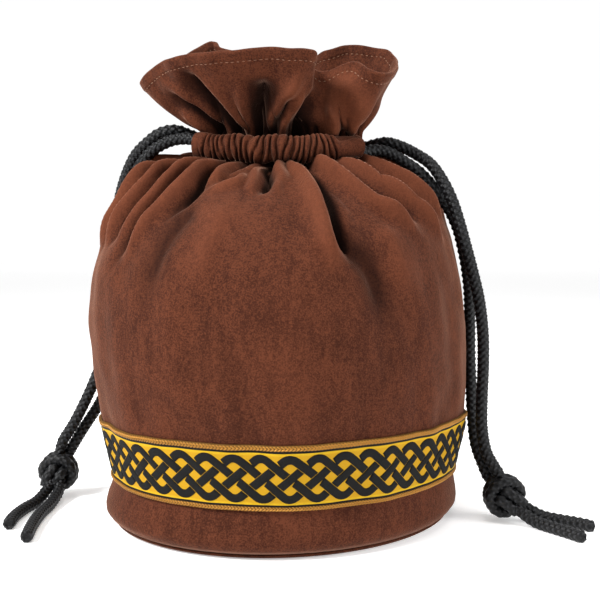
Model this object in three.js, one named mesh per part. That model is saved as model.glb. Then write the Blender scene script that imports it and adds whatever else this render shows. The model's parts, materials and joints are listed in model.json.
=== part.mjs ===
// A drawstring pouch of suede cloth that stands on its round base: a soft side wall, a neck drawn in by two
// black braided cords, a ruffled collar above it, and a woven trim with metallic edges sewn round the foot.
// Millimetres, +Z up. The origin is the middle of the base on the table, the front faces -Y, and +X is to
// the right as seen from the front.
import * as THREE from 'three';

// Driving sizes.
const neckHeight = 182; // table to the middle of the casing, on the pouch's axis
const bellyWidth = 183; // across the fullest part of the side wall
const clothWall = 1.6; // suede cloth with its backing
const hemWall = 2.6; // the collar's folded and stitched hem
const hemDepth = 8; // from the collar's rim to its stitch line
const neckWidth = 76; // across the drawn neck, side to side
const neckDepth = 40; // across the drawn neck, front to back
const neckLean = -0.5; // how far the neck has slumped to the left
const neckTilt = 8; // degrees that the drawn neck nods towards the front
const tipFlare = 0.6; // how much fuller the collar is under its left tip
const collarHeight = 56.6; // middle of the casing to the collar's highest point
const collarWidth = 126; // across the collar's rim, side to side
const collarDepth = 92; // across the collar's rim, front to back
const cordDiameter = 5.2; // braided drawcord
const casingWall = 1.2; // cloth of the casing strips
const casingRoom = 0.9; // free room between a cord and the casing, in and out
const casingLeft = 20; // degrees from the neck's left side to a casing strip's end
const casingRight = 28; // the same from its right side
const casingGathers = 16; // gathers along each casing strip
const casingGatherDepth = 0.9; // height of a casing gather
const neckGathers = 14; // gathers round the side wall's neck
const collarGathers = 21; // gathers round the foot of the collar
const gatherDepth = 1.6; // height of a neck gather
const trimWidth = 28; // woven trim with its two edges
const trimWall = 0.9; // woven trim
const trimEdge = 2.2; // height of one metallic edge
const trimEdgeWall = 1.5; // metallic edge
const trimFoot = 22.4; // table to the trim's lower edge
const baseWall = 2; // base panel
const baseRise = 3; // how far the base panel's edge turns up to its seam
const squash = 0.05; // share by which the standing pouch is longer on one diagonal
const squashAt = -135; // degrees of that diagonal, the front left
const lensPower = 1.33; // 1 is an ellipse, and more draws its two ends to points
const knotWidth = 20; // across a knot of the doubled cord
const knotLength = 23.5; // along a knot
const seat = 0.3; // gap between pieces that touch

// Numbers of faces.
const wallColumns = 56;
const collarColumns = 84;
const casingColumns = 48;
const cordSides = 8;

// Sections of the side wall from the base seam to the neck. Up is a share of the neck's height, wide and
// deep are shares of half the belly's width, side is how far the slumped cloth stands off to the right in
// hundredths of it, and lens and nod are 1 where the section has the drawn neck's form.
const wallSections = [
  { up: 0.018, wide: 0.9, deep: 0.9, side: 0.4, lens: 0, nod: 0 },
  { up: 0.036, wide: 0.935, deep: 0.935, side: 0.4, lens: 0, nod: 0 },
  { up: 0.06, wide: 0.934, deep: 0.94, side: 0.6, lens: 0, nod: 0 },
  { up: 0.092, wide: 0.918, deep: 0.93, side: 1.2, lens: 0, nod: 0 },
  { up: 0.127, wide: 0.903, deep: 0.917, side: 1.7, lens: 0, nod: 0 },
  { up: 0.175, wide: 0.915, deep: 0.928, side: 1.9, lens: 0, nod: 0 },
  { up: 0.231, wide: 0.936, deep: 0.942, side: 1.8, lens: 0, nod: 0 },
  { up: 0.3, wide: 0.96, deep: 0.957, side: 1, lens: 0, nod: 0 },
  { up: 0.412, wide: 0.984, deep: 0.97, side: 0, lens: 0, nod: 0 },
  { up: 0.533, wide: 0.99, deep: 0.97, side: -1.2, lens: 0, nod: 0 },
  { up: 0.654, wide: 0.965, deep: 0.935, side: -1.8, lens: 0, nod: 0 },
  { up: 0.758, wide: 0.905, deep: 0.85, side: -0.8, lens: 0, nod: 0.1 },
  { up: 0.841, wide: 0.822, deep: 0.72, side: -1.2, lens: 0.05, nod: 0.3 },
  { up: 0.896, wide: 0.747, deep: 0.57, side: -3.4, lens: 0.15, nod: 0.6 },
  { up: 0.926, wide: 0.69, deep: 0.46, side: -5, lens: 0.3, nod: 0.85 },
  { up: 0.938, wide: 0.64, deep: 0.385, side: -5.2, lens: 0.5, nod: 1 },
  { up: 0.946, wide: 0.55, deep: 0.315, side: -4.2, lens: 0.8, nod: 1 },
];

// Folds of the side wall. At is where a fold starts under the casing and to where it ends, in degrees round
// the pouch with the front at -90. Foot and crown are the heights where it fades out and where it is
// deepest, as shares of the neck's height. Spread is in degrees, and deep a share of half the belly's width:
// over 0 is a furrow and under 0 a ridge.
const wallFolds = [
  { at: -79, to: -66, foot: 0.52, crown: 0.84, spread: 6, deep: 0.075 },
  { at: -88, to: -80, foot: 0.6, crown: 0.86, spread: 8, deep: -0.035 },
  { at: -97, to: -96, foot: 0.84, crown: 0.925, spread: 5, deep: 0.06 },
  { at: -108, to: -106, foot: 0.8, crown: 0.91, spread: 6, deep: 0.035 },
  { at: -64, to: -50, foot: 0.74, crown: 0.9, spread: 6, deep: 0.055 },
  { at: -52, to: -34, foot: 0.66, crown: 0.88, spread: 6, deep: 0.055 },
  { at: -58, to: -42, foot: 0.7, crown: 0.88, spread: 4, deep: -0.03 },
  { at: -38, to: -18, foot: 0.55, crown: 0.82, spread: 7, deep: 0.045 },
  { at: -22, to: -8, foot: 0.7, crown: 0.9, spread: 6, deep: 0.04 },
  { at: -126, to: -168, foot: 0.56, crown: 0.82, spread: 6, deep: 0.07 },
  { at: -118, to: -150, foot: 0.56, crown: 0.82, spread: 7, deep: -0.03 },
  { at: -148, to: -174, foot: 0.6, crown: 0.86, spread: 5, deep: 0.06 },
  { at: -168, to: -182, foot: 0.66, crown: 0.88, spread: 5, deep: 0.045 },
  { at: 14, to: 18, foot: 0.6, crown: 0.86, spread: 7, deep: 0.05 },
  { at: 38, to: 44, foot: 0.5, crown: 0.84, spread: 7, deep: 0.065 },
  { at: 62, to: 66, foot: 0.62, crown: 0.87, spread: 6, deep: 0.055 },
  { at: 84, to: 83, foot: 0.54, crown: 0.83, spread: 7, deep: 0.07 },
  { at: 108, to: 106, foot: 0.64, crown: 0.87, spread: 6, deep: 0.05 },
  { at: 132, to: 127, foot: 0.5, crown: 0.84, spread: 7, deep: 0.065 },
  { at: 158, to: 152, foot: 0.6, crown: 0.86, spread: 6, deep: 0.055 },
];

// The collar's rim, seen from above and followed round from its left tip. At is the place on the neck that
// each point stands over, in degrees. Side and back are shares of half the collar's width and depth from the
// neck's middle, and up is a share of the collar's height.
const collarRim = [
  { at: -180, side: -1.09, back: -0.11, up: 0.553 },
  { at: -166, side: -1, back: -0.33, up: 0.624 },
  { at: -151, side: -0.88, back: -0.587, up: 0.668 },
  { at: -136, side: -0.716, back: -0.783, up: 0.686 },
  { at: -120, side: -0.487, back: -0.935, up: 0.698 },
  { at: -103, side: -0.195, back: -1, up: 0.71 },
  { at: -88, side: 0.07, back: -1.01, up: 0.712 },
  { at: -76, side: 0.222, back: -0.946, up: 0.71 },
  { at: -69, side: 0.235, back: -0.804, up: 0.7 },
  { at: -63, side: 0.2, back: -0.587, up: 0.69 },
  { at: -58, side: 0.19, back: -0.37, up: 0.665 },
  { at: -53, side: 0.27, back: -0.239, up: 0.618 },
  { at: -48, side: 0.381, back: -0.261, up: 0.627 },
  { at: -41, side: 0.532, back: -0.435, up: 0.68 },
  { at: -33, side: 0.641, back: -0.587, up: 0.604 },
  { at: -25, side: 0.744, back: -0.609, up: 0.564 },
  { at: -16, side: 0.84, back: -0.391, up: 0.61 },
  { at: -5, side: 0.908, back: -0.065, up: 0.7 },
  { at: 7, side: 0.9, back: 0.217, up: 0.81 },
  { at: 20, side: 0.848, back: 0.391, up: 0.883 },
  { at: 38, side: 0.563, back: 0.478, up: 0.947 },
  { at: 54, side: 0.373, back: 0.435, up: 0.882 },
  { at: 67, side: 0.222, back: 0.674, up: 0.84 },
  { at: 80, side: 0.048, back: 0.5, up: 0.83 },
  { at: 94, side: -0.127, back: 0.739, up: 0.848 },
  { at: 108, side: -0.317, back: 0.52, up: 0.866 },
  { at: 122, side: -0.516, back: 0.522, up: 0.931 },
  { at: 135, side: -0.592, back: 0.652, up: 1 },
  { at: 147, side: -0.721, back: 0.478, up: 0.898 },
  { at: 159, side: -0.873, back: 0.304, up: 0.76 },
  { at: 170, side: -1, back: 0.109, up: 0.6 },
];

// Folds of the collar that start in the gathers and fade towards the rim. Reach and crown are shares of the
// way from the casing to the rim, sway is how far a fold wanders in degrees, and deep is a share of half the
// collar's depth.
const collarFolds = [
  { at: -160, sway: 8, crown: 0.45, reach: 1, spread: 6, deep: 0.1 },
  { at: -140, sway: -6, crown: 0.5, reach: 0.9, spread: 6, deep: 0.13 },
  { at: -126, sway: -4, crown: 0.4, reach: 0.9, spread: 6, deep: -0.08 },
  { at: -108, sway: 2, crown: 0.45, reach: 0.85, spread: 6, deep: 0.17 },
  { at: -94, sway: 6, crown: 0.4, reach: 0.8, spread: 5, deep: -0.05 },
  { at: -84, sway: 6, crown: 0.4, reach: 0.85, spread: 5, deep: 0.1 },
  { at: -42, sway: 0, crown: 0.35, reach: 0.75, spread: 5, deep: 0.06 },
  { at: -28, sway: 5, crown: 0.35, reach: 0.75, spread: 6, deep: 0.1 },
  { at: 30, sway: 0, crown: 0.4, reach: 0.9, spread: 7, deep: 0.08 },
  { at: 118, sway: 0, crown: 0.4, reach: 0.9, spread: 7, deep: 0.08 },
  { at: 152, sway: 0, crown: 0.4, reach: 0.9, spread: 7, deep: 0.08 },
];

// Rings of the collar: along is the share of the way out to the rim, rise the share of the way up to it.
const collarRings = [
  { along: 0, rise: 0 },
  { along: 0.02, rise: 0.2 },
  { along: 0.14, rise: 0.31 },
  { along: 0.4, rise: 0.52 },
  { along: 0.7, rise: 0.76 },
  { along: 0.86, rise: 0.88 },
  { along: 1, rise: 1 },
];

// The free stretches of the cords, from the casing's side opening down to the knot, in millimetres. Each
// side has one cord, whose two ends both come out there.
const leftFrontStrand = [
  [-41.3, -9.2, 183.4],
  [-46.6, -5.6, 184.8],
  [-54.4, -2.6, 184.4],
  [-63.6, 0.4, 180.4],
  [-69.8, 3.6, 174.8],
  [-74.8, 8.6, 167.4],
  [-78.6, 16, 157],
  [-80.8, 24.6, 145],
  [-81.6, 32.4, 131],
  [-82.2, 39.4, 115],
  [-83.6, 42.8, 98],
  [-86, 42.6, 80],
  [-91.4, 39.6, 63],
  [-98.4, 35, 47],
  [-106.4, 30, 34],
  [-110.2, 28, 27.6],
  [-112.9, 26.9, 22.8],
];
const leftBackStrand = [
  [-41.3, 9.2, 186.1],
  [-46.2, 6.2, 187.4],
  [-53.6, 4.2, 189.8],
  [-61.3, 5, 188.6],
  [-68.9, 8, 183.6],
  [-74.6, 11.6, 178.4],
  [-79, 15.4, 171.4],
  [-83, 19.6, 162],
  [-86.4, 24, 150],
  [-88.6, 28.6, 136],
  [-89.8, 32, 120],
  [-90.6, 34, 102],
  [-93, 34.4, 85],
  [-97.4, 32.6, 68],
  [-103.6, 29.4, 52],
  [-110.6, 26, 37.6],
  [-115.8, 24.2, 29],
  [-117.2, 23.6, 24.3],
];
const rightFrontStrand = [
  [36.9, -12.4, 177.5],
  [40.6, -9.2, 178.2],
  [45.6, -6.4, 179.2],
  [52.8, -4.4, 177.8],
  [60.2, -3.6, 173.6],
  [67.2, -3.2, 168.8],
  [72.6, -3, 163.4],
  [77.4, -2.6, 157.8],
  [81.4, -2, 152.2],
  [86.9, 0, 141.6],
  [90.2, 2, 130.8],
  [92.6, 4, 120],
  [94.2, 6, 109],
  [95, 8, 94],
  [95, 7, 78],
  [95, 3, 62],
  [94.8, -3, 47],
  [95.6, -8.6, 34],
  [98.4, -13, 24.8],
  [100.8, -15, 19.2],
];
const rightBackStrand = [
  [36.9, 12.4, 181],
  [40.6, 9.2, 181.4],
  [45.2, 6.2, 182.6],
  [51.8, 3.4, 183.6],
  [58.8, 2, 181.6],
  [65.8, 0.6, 178],
  [72.8, -4.2, 172.6],
  [78, -7.4, 164.8],
  [82.4, -10.4, 155],
  [85.8, -11.6, 144.4],
  [89, -12, 133],
  [92.4, -11.8, 120.6],
  [96, -11.2, 106],
  [98, -11.2, 90],
  [98.2, -12, 74],
  [97.4, -13.6, 58],
  [97.2, -15.4, 43],
  [99, -17.2, 32],
  [101.8, -18.8, 26.4],
  [104.2, -20, 22.4],
];
// The knots lie on the table, and each has two short ends of cord.
const leftKnot = { place: [-118, 22, 12.6], towards: [-0.2, -0.5, -0.6] };
const rightKnot = { place: [107.4, -22, 11.2], towards: [0.62, -0.35, -0.5] };
const leftTails = [
  [
    [-121.7, 12.2, 6.2],
    [-124.4, 0, 3],
    [-127.4, -12, 2.75],
    [-129, -26, 2.75],
    [-128.3, -40, 2.75],
  ],
  [
    [-115.7, 12.2, 6.1],
    [-116.4, -2, 3],
    [-117.6, -20, 2.75],
    [-117, -40, 2.75],
    [-115, -60, 2.75],
  ],
];
const rightTails = [
  [
    [118.1, -25.2, 6],
    [124, -28, 3.4],
    [131, -32, 2.75],
    [138, -37, 2.75],
    [144.4, -43, 2.75],
  ],
  [
    [114.2, -30.6, 5.6],
    [119, -36, 3],
    [124.4, -44, 2.75],
    [130, -52, 2.75],
    [135, -60, 2.75],
  ],
];

// Colours of the finished pieces.
const suede = new THREE.MeshStandardMaterial({ color: 0x6f3c28, roughness: 0.95, metalness: 0 });
const braid = new THREE.MeshStandardMaterial({ color: 0x17181a, roughness: 0.7, metalness: 0 });
const trim = new THREE.MeshStandardMaterial({ color: 0xe0a010, roughness: 0.6, metalness: 0 });

const bellyRadius = bellyWidth / 2;
const radians = THREE.MathUtils.degToRad;
const nodPerDepth = Math.tan(radians(neckTilt));
const casingDepth = cordDiameter + 2 * casingRoom + 2 * casingWall;
const casingHeight = 2 * cordDiameter + 3 * seat + 2 * casingWall;
// From the neck cloth's middle to the middle of the casing's channel.
const casingOffset = clothWall / 2 + gatherDepth + seat + casingDepth / 2;

const smooth = (from, to, x) => THREE.MathUtils.smoothstep(x, from, to);

// The same angle between -180 and 180 degrees.
const halfTurn = (degrees) => ((((degrees + 180) % 360) + 360) % 360) - 180;

// A cubic through the values of one column at the numbers in knots, with the slopes of their neighbours.
function cubicAt(knots, values, x) {
  let i = 1;
  while (i < knots.length - 1 && x > knots[i]) i += 1;
  const slope = (k) => {
    const before = Math.max(k - 1, 0);
    const after = Math.min(k + 1, knots.length - 1);
    return (values[after] - values[before]) / (knots[after] - knots[before]);
  };
  const span = knots[i] - knots[i - 1];
  const t = (x - knots[i - 1]) / span;
  return (
    values[i - 1] * (1 + 2 * t) * (1 - t) ** 2 +
    values[i] * t * t * (3 - 2 * t) +
    span * (slope(i - 1) * t * (1 - t) ** 2 - slope(i) * t * t * (1 - t))
  );
}

// The same round a closed loop: the rows' at runs once round from -180 degrees.
function loopAt(rows, column, degrees) {
  const turned = halfTurn(degrees);
  const around = [-2, -1, 0, 1, 2].flatMap((turn) => rows.map((row) => [row.at + 360 * turn, row[column]]));
  const near = around.filter(([at]) => Math.abs(at - turned) < 90);
  return cubicAt(near.map(([at]) => at), near.map(([, value]) => value), turned);
}

// A point on a section with its two half widths. Lens 0 is an ellipse and 1 the pointed form of the neck.
function sectionPoint(degrees, halfWidth, halfDepth, lens) {
  const power = 1 + lens * (lensPower - 1);
  const [c, s] = [Math.cos(radians(degrees)), Math.sin(radians(degrees))];
  const diagonal = 1 + squash * (1 - lens) * Math.cos(2 * radians(degrees - squashAt));
  return new THREE.Vector2(
    halfWidth * diagonal * Math.sign(c) * Math.abs(c) ** power,
    halfDepth * diagonal * Math.sign(s) * Math.abs(s) ** power,
  );
}

// The drawn neck: the middle of its cloth, in plan.
const neckPoint = (degrees) => sectionPoint(degrees, neckWidth / 2, neckDepth / 2, 1);

// The outward direction in plan of a curve given by its angle.
function outward(curve, degrees) {
  const step = 0.5;
  const along = curve(degrees + step).sub(curve(degrees - step)).normalize();
  return new THREE.Vector2(along.y, -along.x);
}

// All sections of the side wall with the neck's two rings at the top, as lengths.
const casingFoot = neckHeight - casingHeight / 2;
const wallRings = wallSections
  .map((row) => ({
    height: row.up * neckHeight,
    wide: row.wide * bellyRadius,
    deep: row.deep * bellyRadius,
    side: (row.side * bellyRadius) / 100,
    lens: row.lens,
    nod: row.nod,
  }))
  .concat(
    [casingFoot - clothWall, neckHeight - seat].map((height) => ({
      height,
      wide: neckWidth / 2,
      deep: neckDepth / 2,
      side: neckLean,
      lens: 1,
      nod: 1,
    })),
  );
const ringNumbers = wallRings.map((_, number) => number);
const wallColumn = (column, level) => cubicAt(ringNumbers, wallRings.map((ring) => ring[column]), level);

// How far the folds push the side wall in at an angle and a height share.
function foldDepth(degrees, share) {
  const neckShare = casingFoot / neckHeight;
  return wallFolds.reduce((sum, fold) => {
    const climbed = THREE.MathUtils.clamp((share - fold.foot) / (neckShare - fold.foot), 0, 1);
    const off = halfTurn(degrees - fold.to - (fold.at - fold.to) * climbed);
    const strength = smooth(fold.foot, fold.crown, share) * (1 - smooth(fold.crown, neckShare, share));
    return sum + fold.deep * bellyRadius * strength * Math.exp(-((off / fold.spread) ** 2));
  }, 0);
}

// The middle of the side wall's cloth at an angle and a level, counted in rings from the base seam.
function wallPoint(degrees, level) {
  const height = wallColumn('height', level);
  const lens = THREE.MathUtils.clamp(wallColumn('lens', level), 0, 1);
  const ring = (at) => sectionPoint(at, wallColumn('wide', level), wallColumn('deep', level), lens);
  const gathered = smooth(0.6, 1, lens) * gatherDepth * Math.cos(radians(degrees) * neckGathers);
  const folded = foldDepth(degrees, height / neckHeight);
  const plan = ring(degrees).addScaledVector(outward(ring, degrees), gathered - folded);
  const nodded = wallColumn('nod', level) * nodPerDepth * plan.y;
  return new THREE.Vector3(plan.x + wallColumn('side', level), plan.y, height + nodded);
}

// The level of the side wall that has a height.
function levelAt(height) {
  let [low, high] = [0, wallRings.length - 1];
  while (high - low > 1e-4) {
    const middle = (low + high) / 2;
    if (wallColumn('height', middle) < height) low = middle;
    else high = middle;
  }
  return low;
}

// The middle of the collar's cloth at an angle and a share of the way from the casing's middle to the rim.
function collarPoint(degrees, along, rise) {
  const neck = neckPoint(degrees);
  const rim = new THREE.Vector2(
    (loopAt(collarRim, 'side', degrees) * collarWidth) / 2,
    (loopAt(collarRim, 'back', degrees) * collarDepth) / 2,
  );
  const folds = collarFolds.reduce((sum, fold) => {
    const off = halfTurn(degrees - fold.at - fold.sway * rise);
    const strength = smooth(0.2, fold.crown, rise) * (1 - smooth(fold.crown, fold.reach, rise));
    return sum + (fold.deep * collarDepth * strength * Math.exp(-((off / fold.spread) ** 2))) / 2;
  }, 0);
  const gathers = (1 - smooth(0.25, 0.7, rise)) * gatherDepth * Math.cos(radians(degrees) * collarGathers);
  const fuller = tipFlare * Math.exp(-((halfTurn(degrees + 172) / 30) ** 2));
  const plan = neck.clone().lerp(rim, along + fuller * along * (1 - along));
  plan.addScaledVector(outward(neckPoint, degrees), gathers - folds);
  const foot = neckHeight + seat + nodPerDepth * neck.y;
  const top = neckHeight + loopAt(collarRim, 'up', degrees) * collarHeight;
  return new THREE.Vector3(plan.x + neckLean, plan.y, THREE.MathUtils.lerp(foot, top, rise));
}

// A closed surface from grids of points: each ring is joined to the next, and the last to the first.
function ringGeometry(rings, closedAround) {
  const columns = rings[0].length;
  const positions = rings.flat().flatMap((p) => [p.x, p.y, p.z]);
  const index = [];
  const last = closedAround ? columns : columns - 1;
  rings.forEach((_, r) => {
    const next = (r + 1) % rings.length;
    for (let c = 0; c < last; c += 1) {
      const [a, b] = [r * columns + c, r * columns + ((c + 1) % columns)];
      const [d, e] = [next * columns + c, next * columns + ((c + 1) % columns)];
      index.push(a, b, e, a, e, d);
    }
  });
  return { positions, index, columns };
}

function bufferOf({ positions, index }) {
  const geometry = new THREE.BufferGeometry();
  geometry.setAttribute('position', new THREE.Float32BufferAttribute(positions, 3));
  geometry.setIndex(index);
  geometry.computeVertexNormals();
  return geometry;
}

const degreesOf = (count) => Array.from({ length: count }, (_, i) => -180 + (360 * i) / count);

// The unit normal of a surface of angle and level, pointing out of the pouch.
function normalAt(surface, degrees, level, lowest, highest) {
  const [turn, step] = [1, 0.02 * (highest - lowest)];
  const around = surface(degrees + turn, level).sub(surface(degrees - turn, level));
  const above = surface(degrees, Math.min(level + step, highest));
  const up = above.sub(surface(degrees, Math.max(level - step, lowest)));
  return around.cross(up).normalize();
}

// A cloth shell round the pouch: outer rings upwards, then inner rings back down. Inner and outer say how
// far the two faces lie from the cloth's middle at a level.
function shell(surface, levels, columns, inner, outer) {
  const angles = degreesOf(columns);
  const [lowest, highest] = [levels[0], levels[levels.length - 1]];
  const face = (level, distance) =>
    angles.map((degrees) =>
      surface(degrees, level).addScaledVector(normalAt(surface, degrees, level, lowest, highest), distance),
    );
  const rings = levels.map((level) => face(level, outer(level)));
  [...levels].reverse().forEach((level) => rings.push(face(level, inner(level))));
  return bufferOf(ringGeometry(rings, true));
}

function named(name, geometry, material) {
  const mesh = new THREE.Mesh(geometry, material);
  mesh.name = name;
  return mesh;
}

function sideWall() {
  const half = () => clothWall / 2;
  return named('side_wall', shell(wallPoint, ringNumbers, wallColumns, () => -half(), half), suede);
}

// The hem is thicker than the rest of the collar.
function collar() {
  const surface = (degrees, level) => {
    const i = Math.min(Math.floor(level), collarRings.length - 2);
    const [low, high] = [collarRings[i], collarRings[i + 1]];
    const mix = (column) => THREE.MathUtils.lerp(low[column], high[column], level - i);
    return collarPoint(degrees, mix('along'), mix('rise'));
  };
  const hemStart = collarRings.length - 1 - (2 * hemDepth) / (collarHeight / 3);
  const half = (level) => (level > hemStart ? hemWall : clothWall) / 2;
  const levels = collarRings.map((_, number) => number);
  return named('collar', shell(surface, levels, collarColumns, (level) => -half(level), half), suede);
}

// The middle line of the casing's channel, lifted from the casing's middle.
function casingLine(degrees, lift) {
  const plan = neckPoint(degrees).addScaledVector(outward(neckPoint, degrees), casingOffset);
  return new THREE.Vector3(plan.x + neckLean, plan.y, neckHeight + lift + nodPerDepth * plan.y);
}

// A casing strip: a flat cloth tube, open at both ends, that the cords run through.
function casing(name, from, to) {
  const section = (halfDepth, halfHeight, soften) => [
    [halfDepth, -halfHeight + soften],
    [halfDepth, halfHeight - soften],
    [0, halfHeight],
    [-halfDepth, halfHeight - soften],
    [-halfDepth, -halfHeight + soften],
    [0, -halfHeight],
  ];
  const outerSection = section(casingDepth / 2, casingHeight / 2, 2 * casingWall);
  const innerSection = section(casingDepth / 2 - casingWall, casingHeight / 2 - casingWall, casingWall);
  const place = (degrees, [out, up], gather) => {
    const across = outward(neckPoint, degrees);
    const middle = casingLine(degrees, up);
    const reach = out > 0 ? out + gather : out;
    return new THREE.Vector3(middle.x + across.x * reach, middle.y + across.y * reach, middle.z);
  };
  const stationAt = (i) => from + ((to - from) * i) / casingColumns;
  const stations = Array.from({ length: casingColumns + 1 }, (_, i) => stationAt(i));
  const gatherAt = (degrees) => {
    const share = (degrees - from) / (to - from);
    const fade = smooth(0, 0.08, share) * (1 - smooth(0.92, 1, share));
    return (-casingGatherDepth / 2) * fade * (1 - Math.cos(2 * Math.PI * casingGathers * share));
  };
  const rings = outerSection.map((corner) => stations.map((at) => place(at, corner, gatherAt(at))));
  const made = ringGeometry(rings, false);
  const innerRings = innerSection.map((corner) => stations.map((at) => place(at, corner, 0)));
  const inside = ringGeometry(innerRings, false);
  const shift = made.positions.length / 3;
  for (let i = 0; i < inside.index.length; i += 3) {
    made.index.push(inside.index[i] + shift, inside.index[i + 2] + shift, inside.index[i + 1] + shift);
  }
  made.positions.push(...inside.positions);
  outerSection.forEach((_, corner) => {
    const next = (corner + 1) % outerSection.length;
    [0, casingColumns].forEach((end) => {
      const [a, b] = [corner, next].map((k) => k * made.columns + end);
      const quad = [a, b, b + shift, a, b + shift, a + shift];
      made.index.push(...(end === 0 ? quad : quad.reverse()));
    });
  });
  return named(name, bufferOf(made), suede);
}

// The woven trim lies on the side wall, and its two edges are thicker.
function trimBand() {
  const backing = clothWall / 2 + seat;
  const upperEdge = trimWidth - trimEdge;
  const heights = [0, trimEdge, trimEdge, trimWidth / 2, upperEdge, upperEdge, trimWidth];
  const walls = [trimEdgeWall, trimEdgeWall, trimWall, trimWall, trimWall, trimEdgeWall, trimEdgeWall];
  const angles = degreesOf(wallColumns);
  const [lowest, highest] = [0, wallRings.length - 1];
  const face = (height, distance) => {
    const level = levelAt(trimFoot + height);
    return angles.map((degrees) => {
      const normal = normalAt(wallPoint, degrees, level, lowest, highest);
      return wallPoint(degrees, level).addScaledVector(normal, distance);
    });
  };
  const rings = heights.map((height, i) => face(height, backing + walls[i]));
  [trimWidth, trimWidth / 2, 0].forEach((height) => rings.push(face(height, backing)));
  return named('trim_band', bufferOf(ringGeometry(rings, true)), trim);
}

// The base panel: flat on the table, with an edge that turns up to the side wall's seam.
function basePanel() {
  const seam = wallRings[0];
  const rim = (share, height) =>
    degreesOf(wallColumns).map((degrees) => {
      const plan = sectionPoint(degrees, seam.wide, seam.deep, 0).multiplyScalar(share);
      return new THREE.Vector3(plan.x + seam.side, plan.y, height);
    });
  const edge = seam.height - clothWall / 2 - seat;
  const turned = 1 - baseRise / seam.wide;
  const rings = [
    rim(turned - baseRise / seam.wide, 0),
    rim(turned, baseRise / 6),
    rim(1, Math.min(baseRise, edge) / 2),
    rim(1, edge),
    rim(turned - baseRise / seam.wide, baseWall),
  ];
  const { positions, index } = ringGeometry(rings, true);
  const columns = wallColumns;
  const kept = index.slice(0, -columns * 6);
  const middles = [positions.length / 3, positions.length / 3 + 1];
  positions.push(0, 0, 0, 0, 0, baseWall);
  const top = (rings.length - 1) * columns;
  for (let c = 0; c < columns; c += 1) {
    const next = (c + 1) % columns;
    kept.push(middles[0], next, c, middles[1], top + c, top + next);
  }
  return named('base_panel', bufferOf({ positions, index: kept }), suede);
}

// A round tube along points.
function tube(name, points) {
  const section = new THREE.Shape(
    Array.from({ length: cordSides }, (_, i) => {
      const angle = (2 * Math.PI * i) / cordSides;
      return new THREE.Vector2(Math.cos(angle), Math.sin(angle)).multiplyScalar(cordDiameter / 2);
    }),
  );
  const stops = points.map((p) => new THREE.Vector3(...p));
  const line = new THREE.CatmullRomCurve3(stops, false, 'centripetal');
  const count = Math.max(3, Math.round(line.getLength() / (2.6 * cordDiameter)));
  const options = { steps: count, bevelEnabled: false, extrudePath: line };
  return named(name, new THREE.ExtrudeGeometry(section, options), braid);
}

// A knot's outer form: a lump with the ridges of the cord's turns round it.
function knot(name, { place, towards }) {
  const geometry = new THREE.SphereGeometry(0.5, 14, 8);
  const position = geometry.attributes.position;
  const point = new THREE.Vector3();
  for (let i = 0; i < position.count; i += 1) {
    point.fromBufferAttribute(position, i);
    const ridge = Math.cos(3 * Math.atan2(point.z, point.x) + 9 * point.y);
    const turns = 1 + 0.06 * ridge * (1 - 4 * point.y * point.y);
    position.setXYZ(i, point.x * knotWidth * turns, point.y * knotLength, point.z * knotWidth * turns);
  }
  geometry.computeVertexNormals();
  const mesh = named(name, geometry, braid);
  const axis = new THREE.Vector3(...towards).normalize();
  mesh.quaternion.setFromUnitVectors(new THREE.Vector3(0, -1, 0), axis);
  mesh.position.set(...place);
  return mesh;
}

const pouch = new THREE.Group();
pouch.add(sideWall());
pouch.add(collar());
pouch.add(casing('casing_front', -180 + casingLeft, -casingRight));
pouch.add(casing('casing_back', casingRight, 180 - casingLeft));
pouch.add(trimBand());
pouch.add(basePanel());
pouch.add(tube('cord_left_front', leftFrontStrand));
pouch.add(tube('cord_left_back', leftBackStrand));
pouch.add(tube('cord_right_front', rightFrontStrand));
pouch.add(tube('cord_right_back', rightBackStrand));
pouch.add(knot('knot_left', leftKnot));
pouch.add(knot('knot_right', rightKnot));
leftTails.forEach((points, i) => pouch.add(tube(`tail_left_${i + 1}`, points)));
rightTails.forEach((points, i) => pouch.add(tube(`tail_right_${i + 1}`, points)));

export default pouch;
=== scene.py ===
import json
import math

import bpy
import numpy as np
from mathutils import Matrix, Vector
from mathutils.bvhtree import BVHTree

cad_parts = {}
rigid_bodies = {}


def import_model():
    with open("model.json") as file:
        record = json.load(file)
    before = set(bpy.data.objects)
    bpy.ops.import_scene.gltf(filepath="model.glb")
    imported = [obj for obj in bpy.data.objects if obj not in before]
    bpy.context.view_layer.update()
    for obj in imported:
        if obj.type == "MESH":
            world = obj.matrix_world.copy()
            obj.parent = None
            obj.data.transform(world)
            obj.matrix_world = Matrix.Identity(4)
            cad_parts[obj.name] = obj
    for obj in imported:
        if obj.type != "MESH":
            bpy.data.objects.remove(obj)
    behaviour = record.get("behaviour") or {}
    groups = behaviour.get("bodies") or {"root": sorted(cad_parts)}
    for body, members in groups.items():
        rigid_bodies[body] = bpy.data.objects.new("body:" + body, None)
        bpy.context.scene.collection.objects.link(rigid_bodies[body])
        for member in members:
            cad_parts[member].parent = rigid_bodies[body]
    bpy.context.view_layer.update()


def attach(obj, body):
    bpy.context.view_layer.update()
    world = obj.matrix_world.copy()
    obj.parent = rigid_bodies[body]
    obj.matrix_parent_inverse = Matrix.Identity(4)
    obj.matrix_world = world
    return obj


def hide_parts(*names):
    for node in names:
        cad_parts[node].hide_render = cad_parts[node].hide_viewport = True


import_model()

bl_info = {
    "name": "Drawstring Pouch",
    "version": (1, 0, 0),
    "blender": (4, 5, 0),
    "location": "View3D > Sidebar > Pouch",
    "description": "Builds a gathered suede pouch with braided cords and an interlace trim",
    "category": "Add Mesh",
}


# Sizes and colours

def length(name, description, default):
    """A length in metres that a user can change."""
    return bpy.props.FloatProperty(
        name=name, description=description, default=default, min=0.0, unit="LENGTH", subtype="DISTANCE", precision=4
    )


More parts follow.
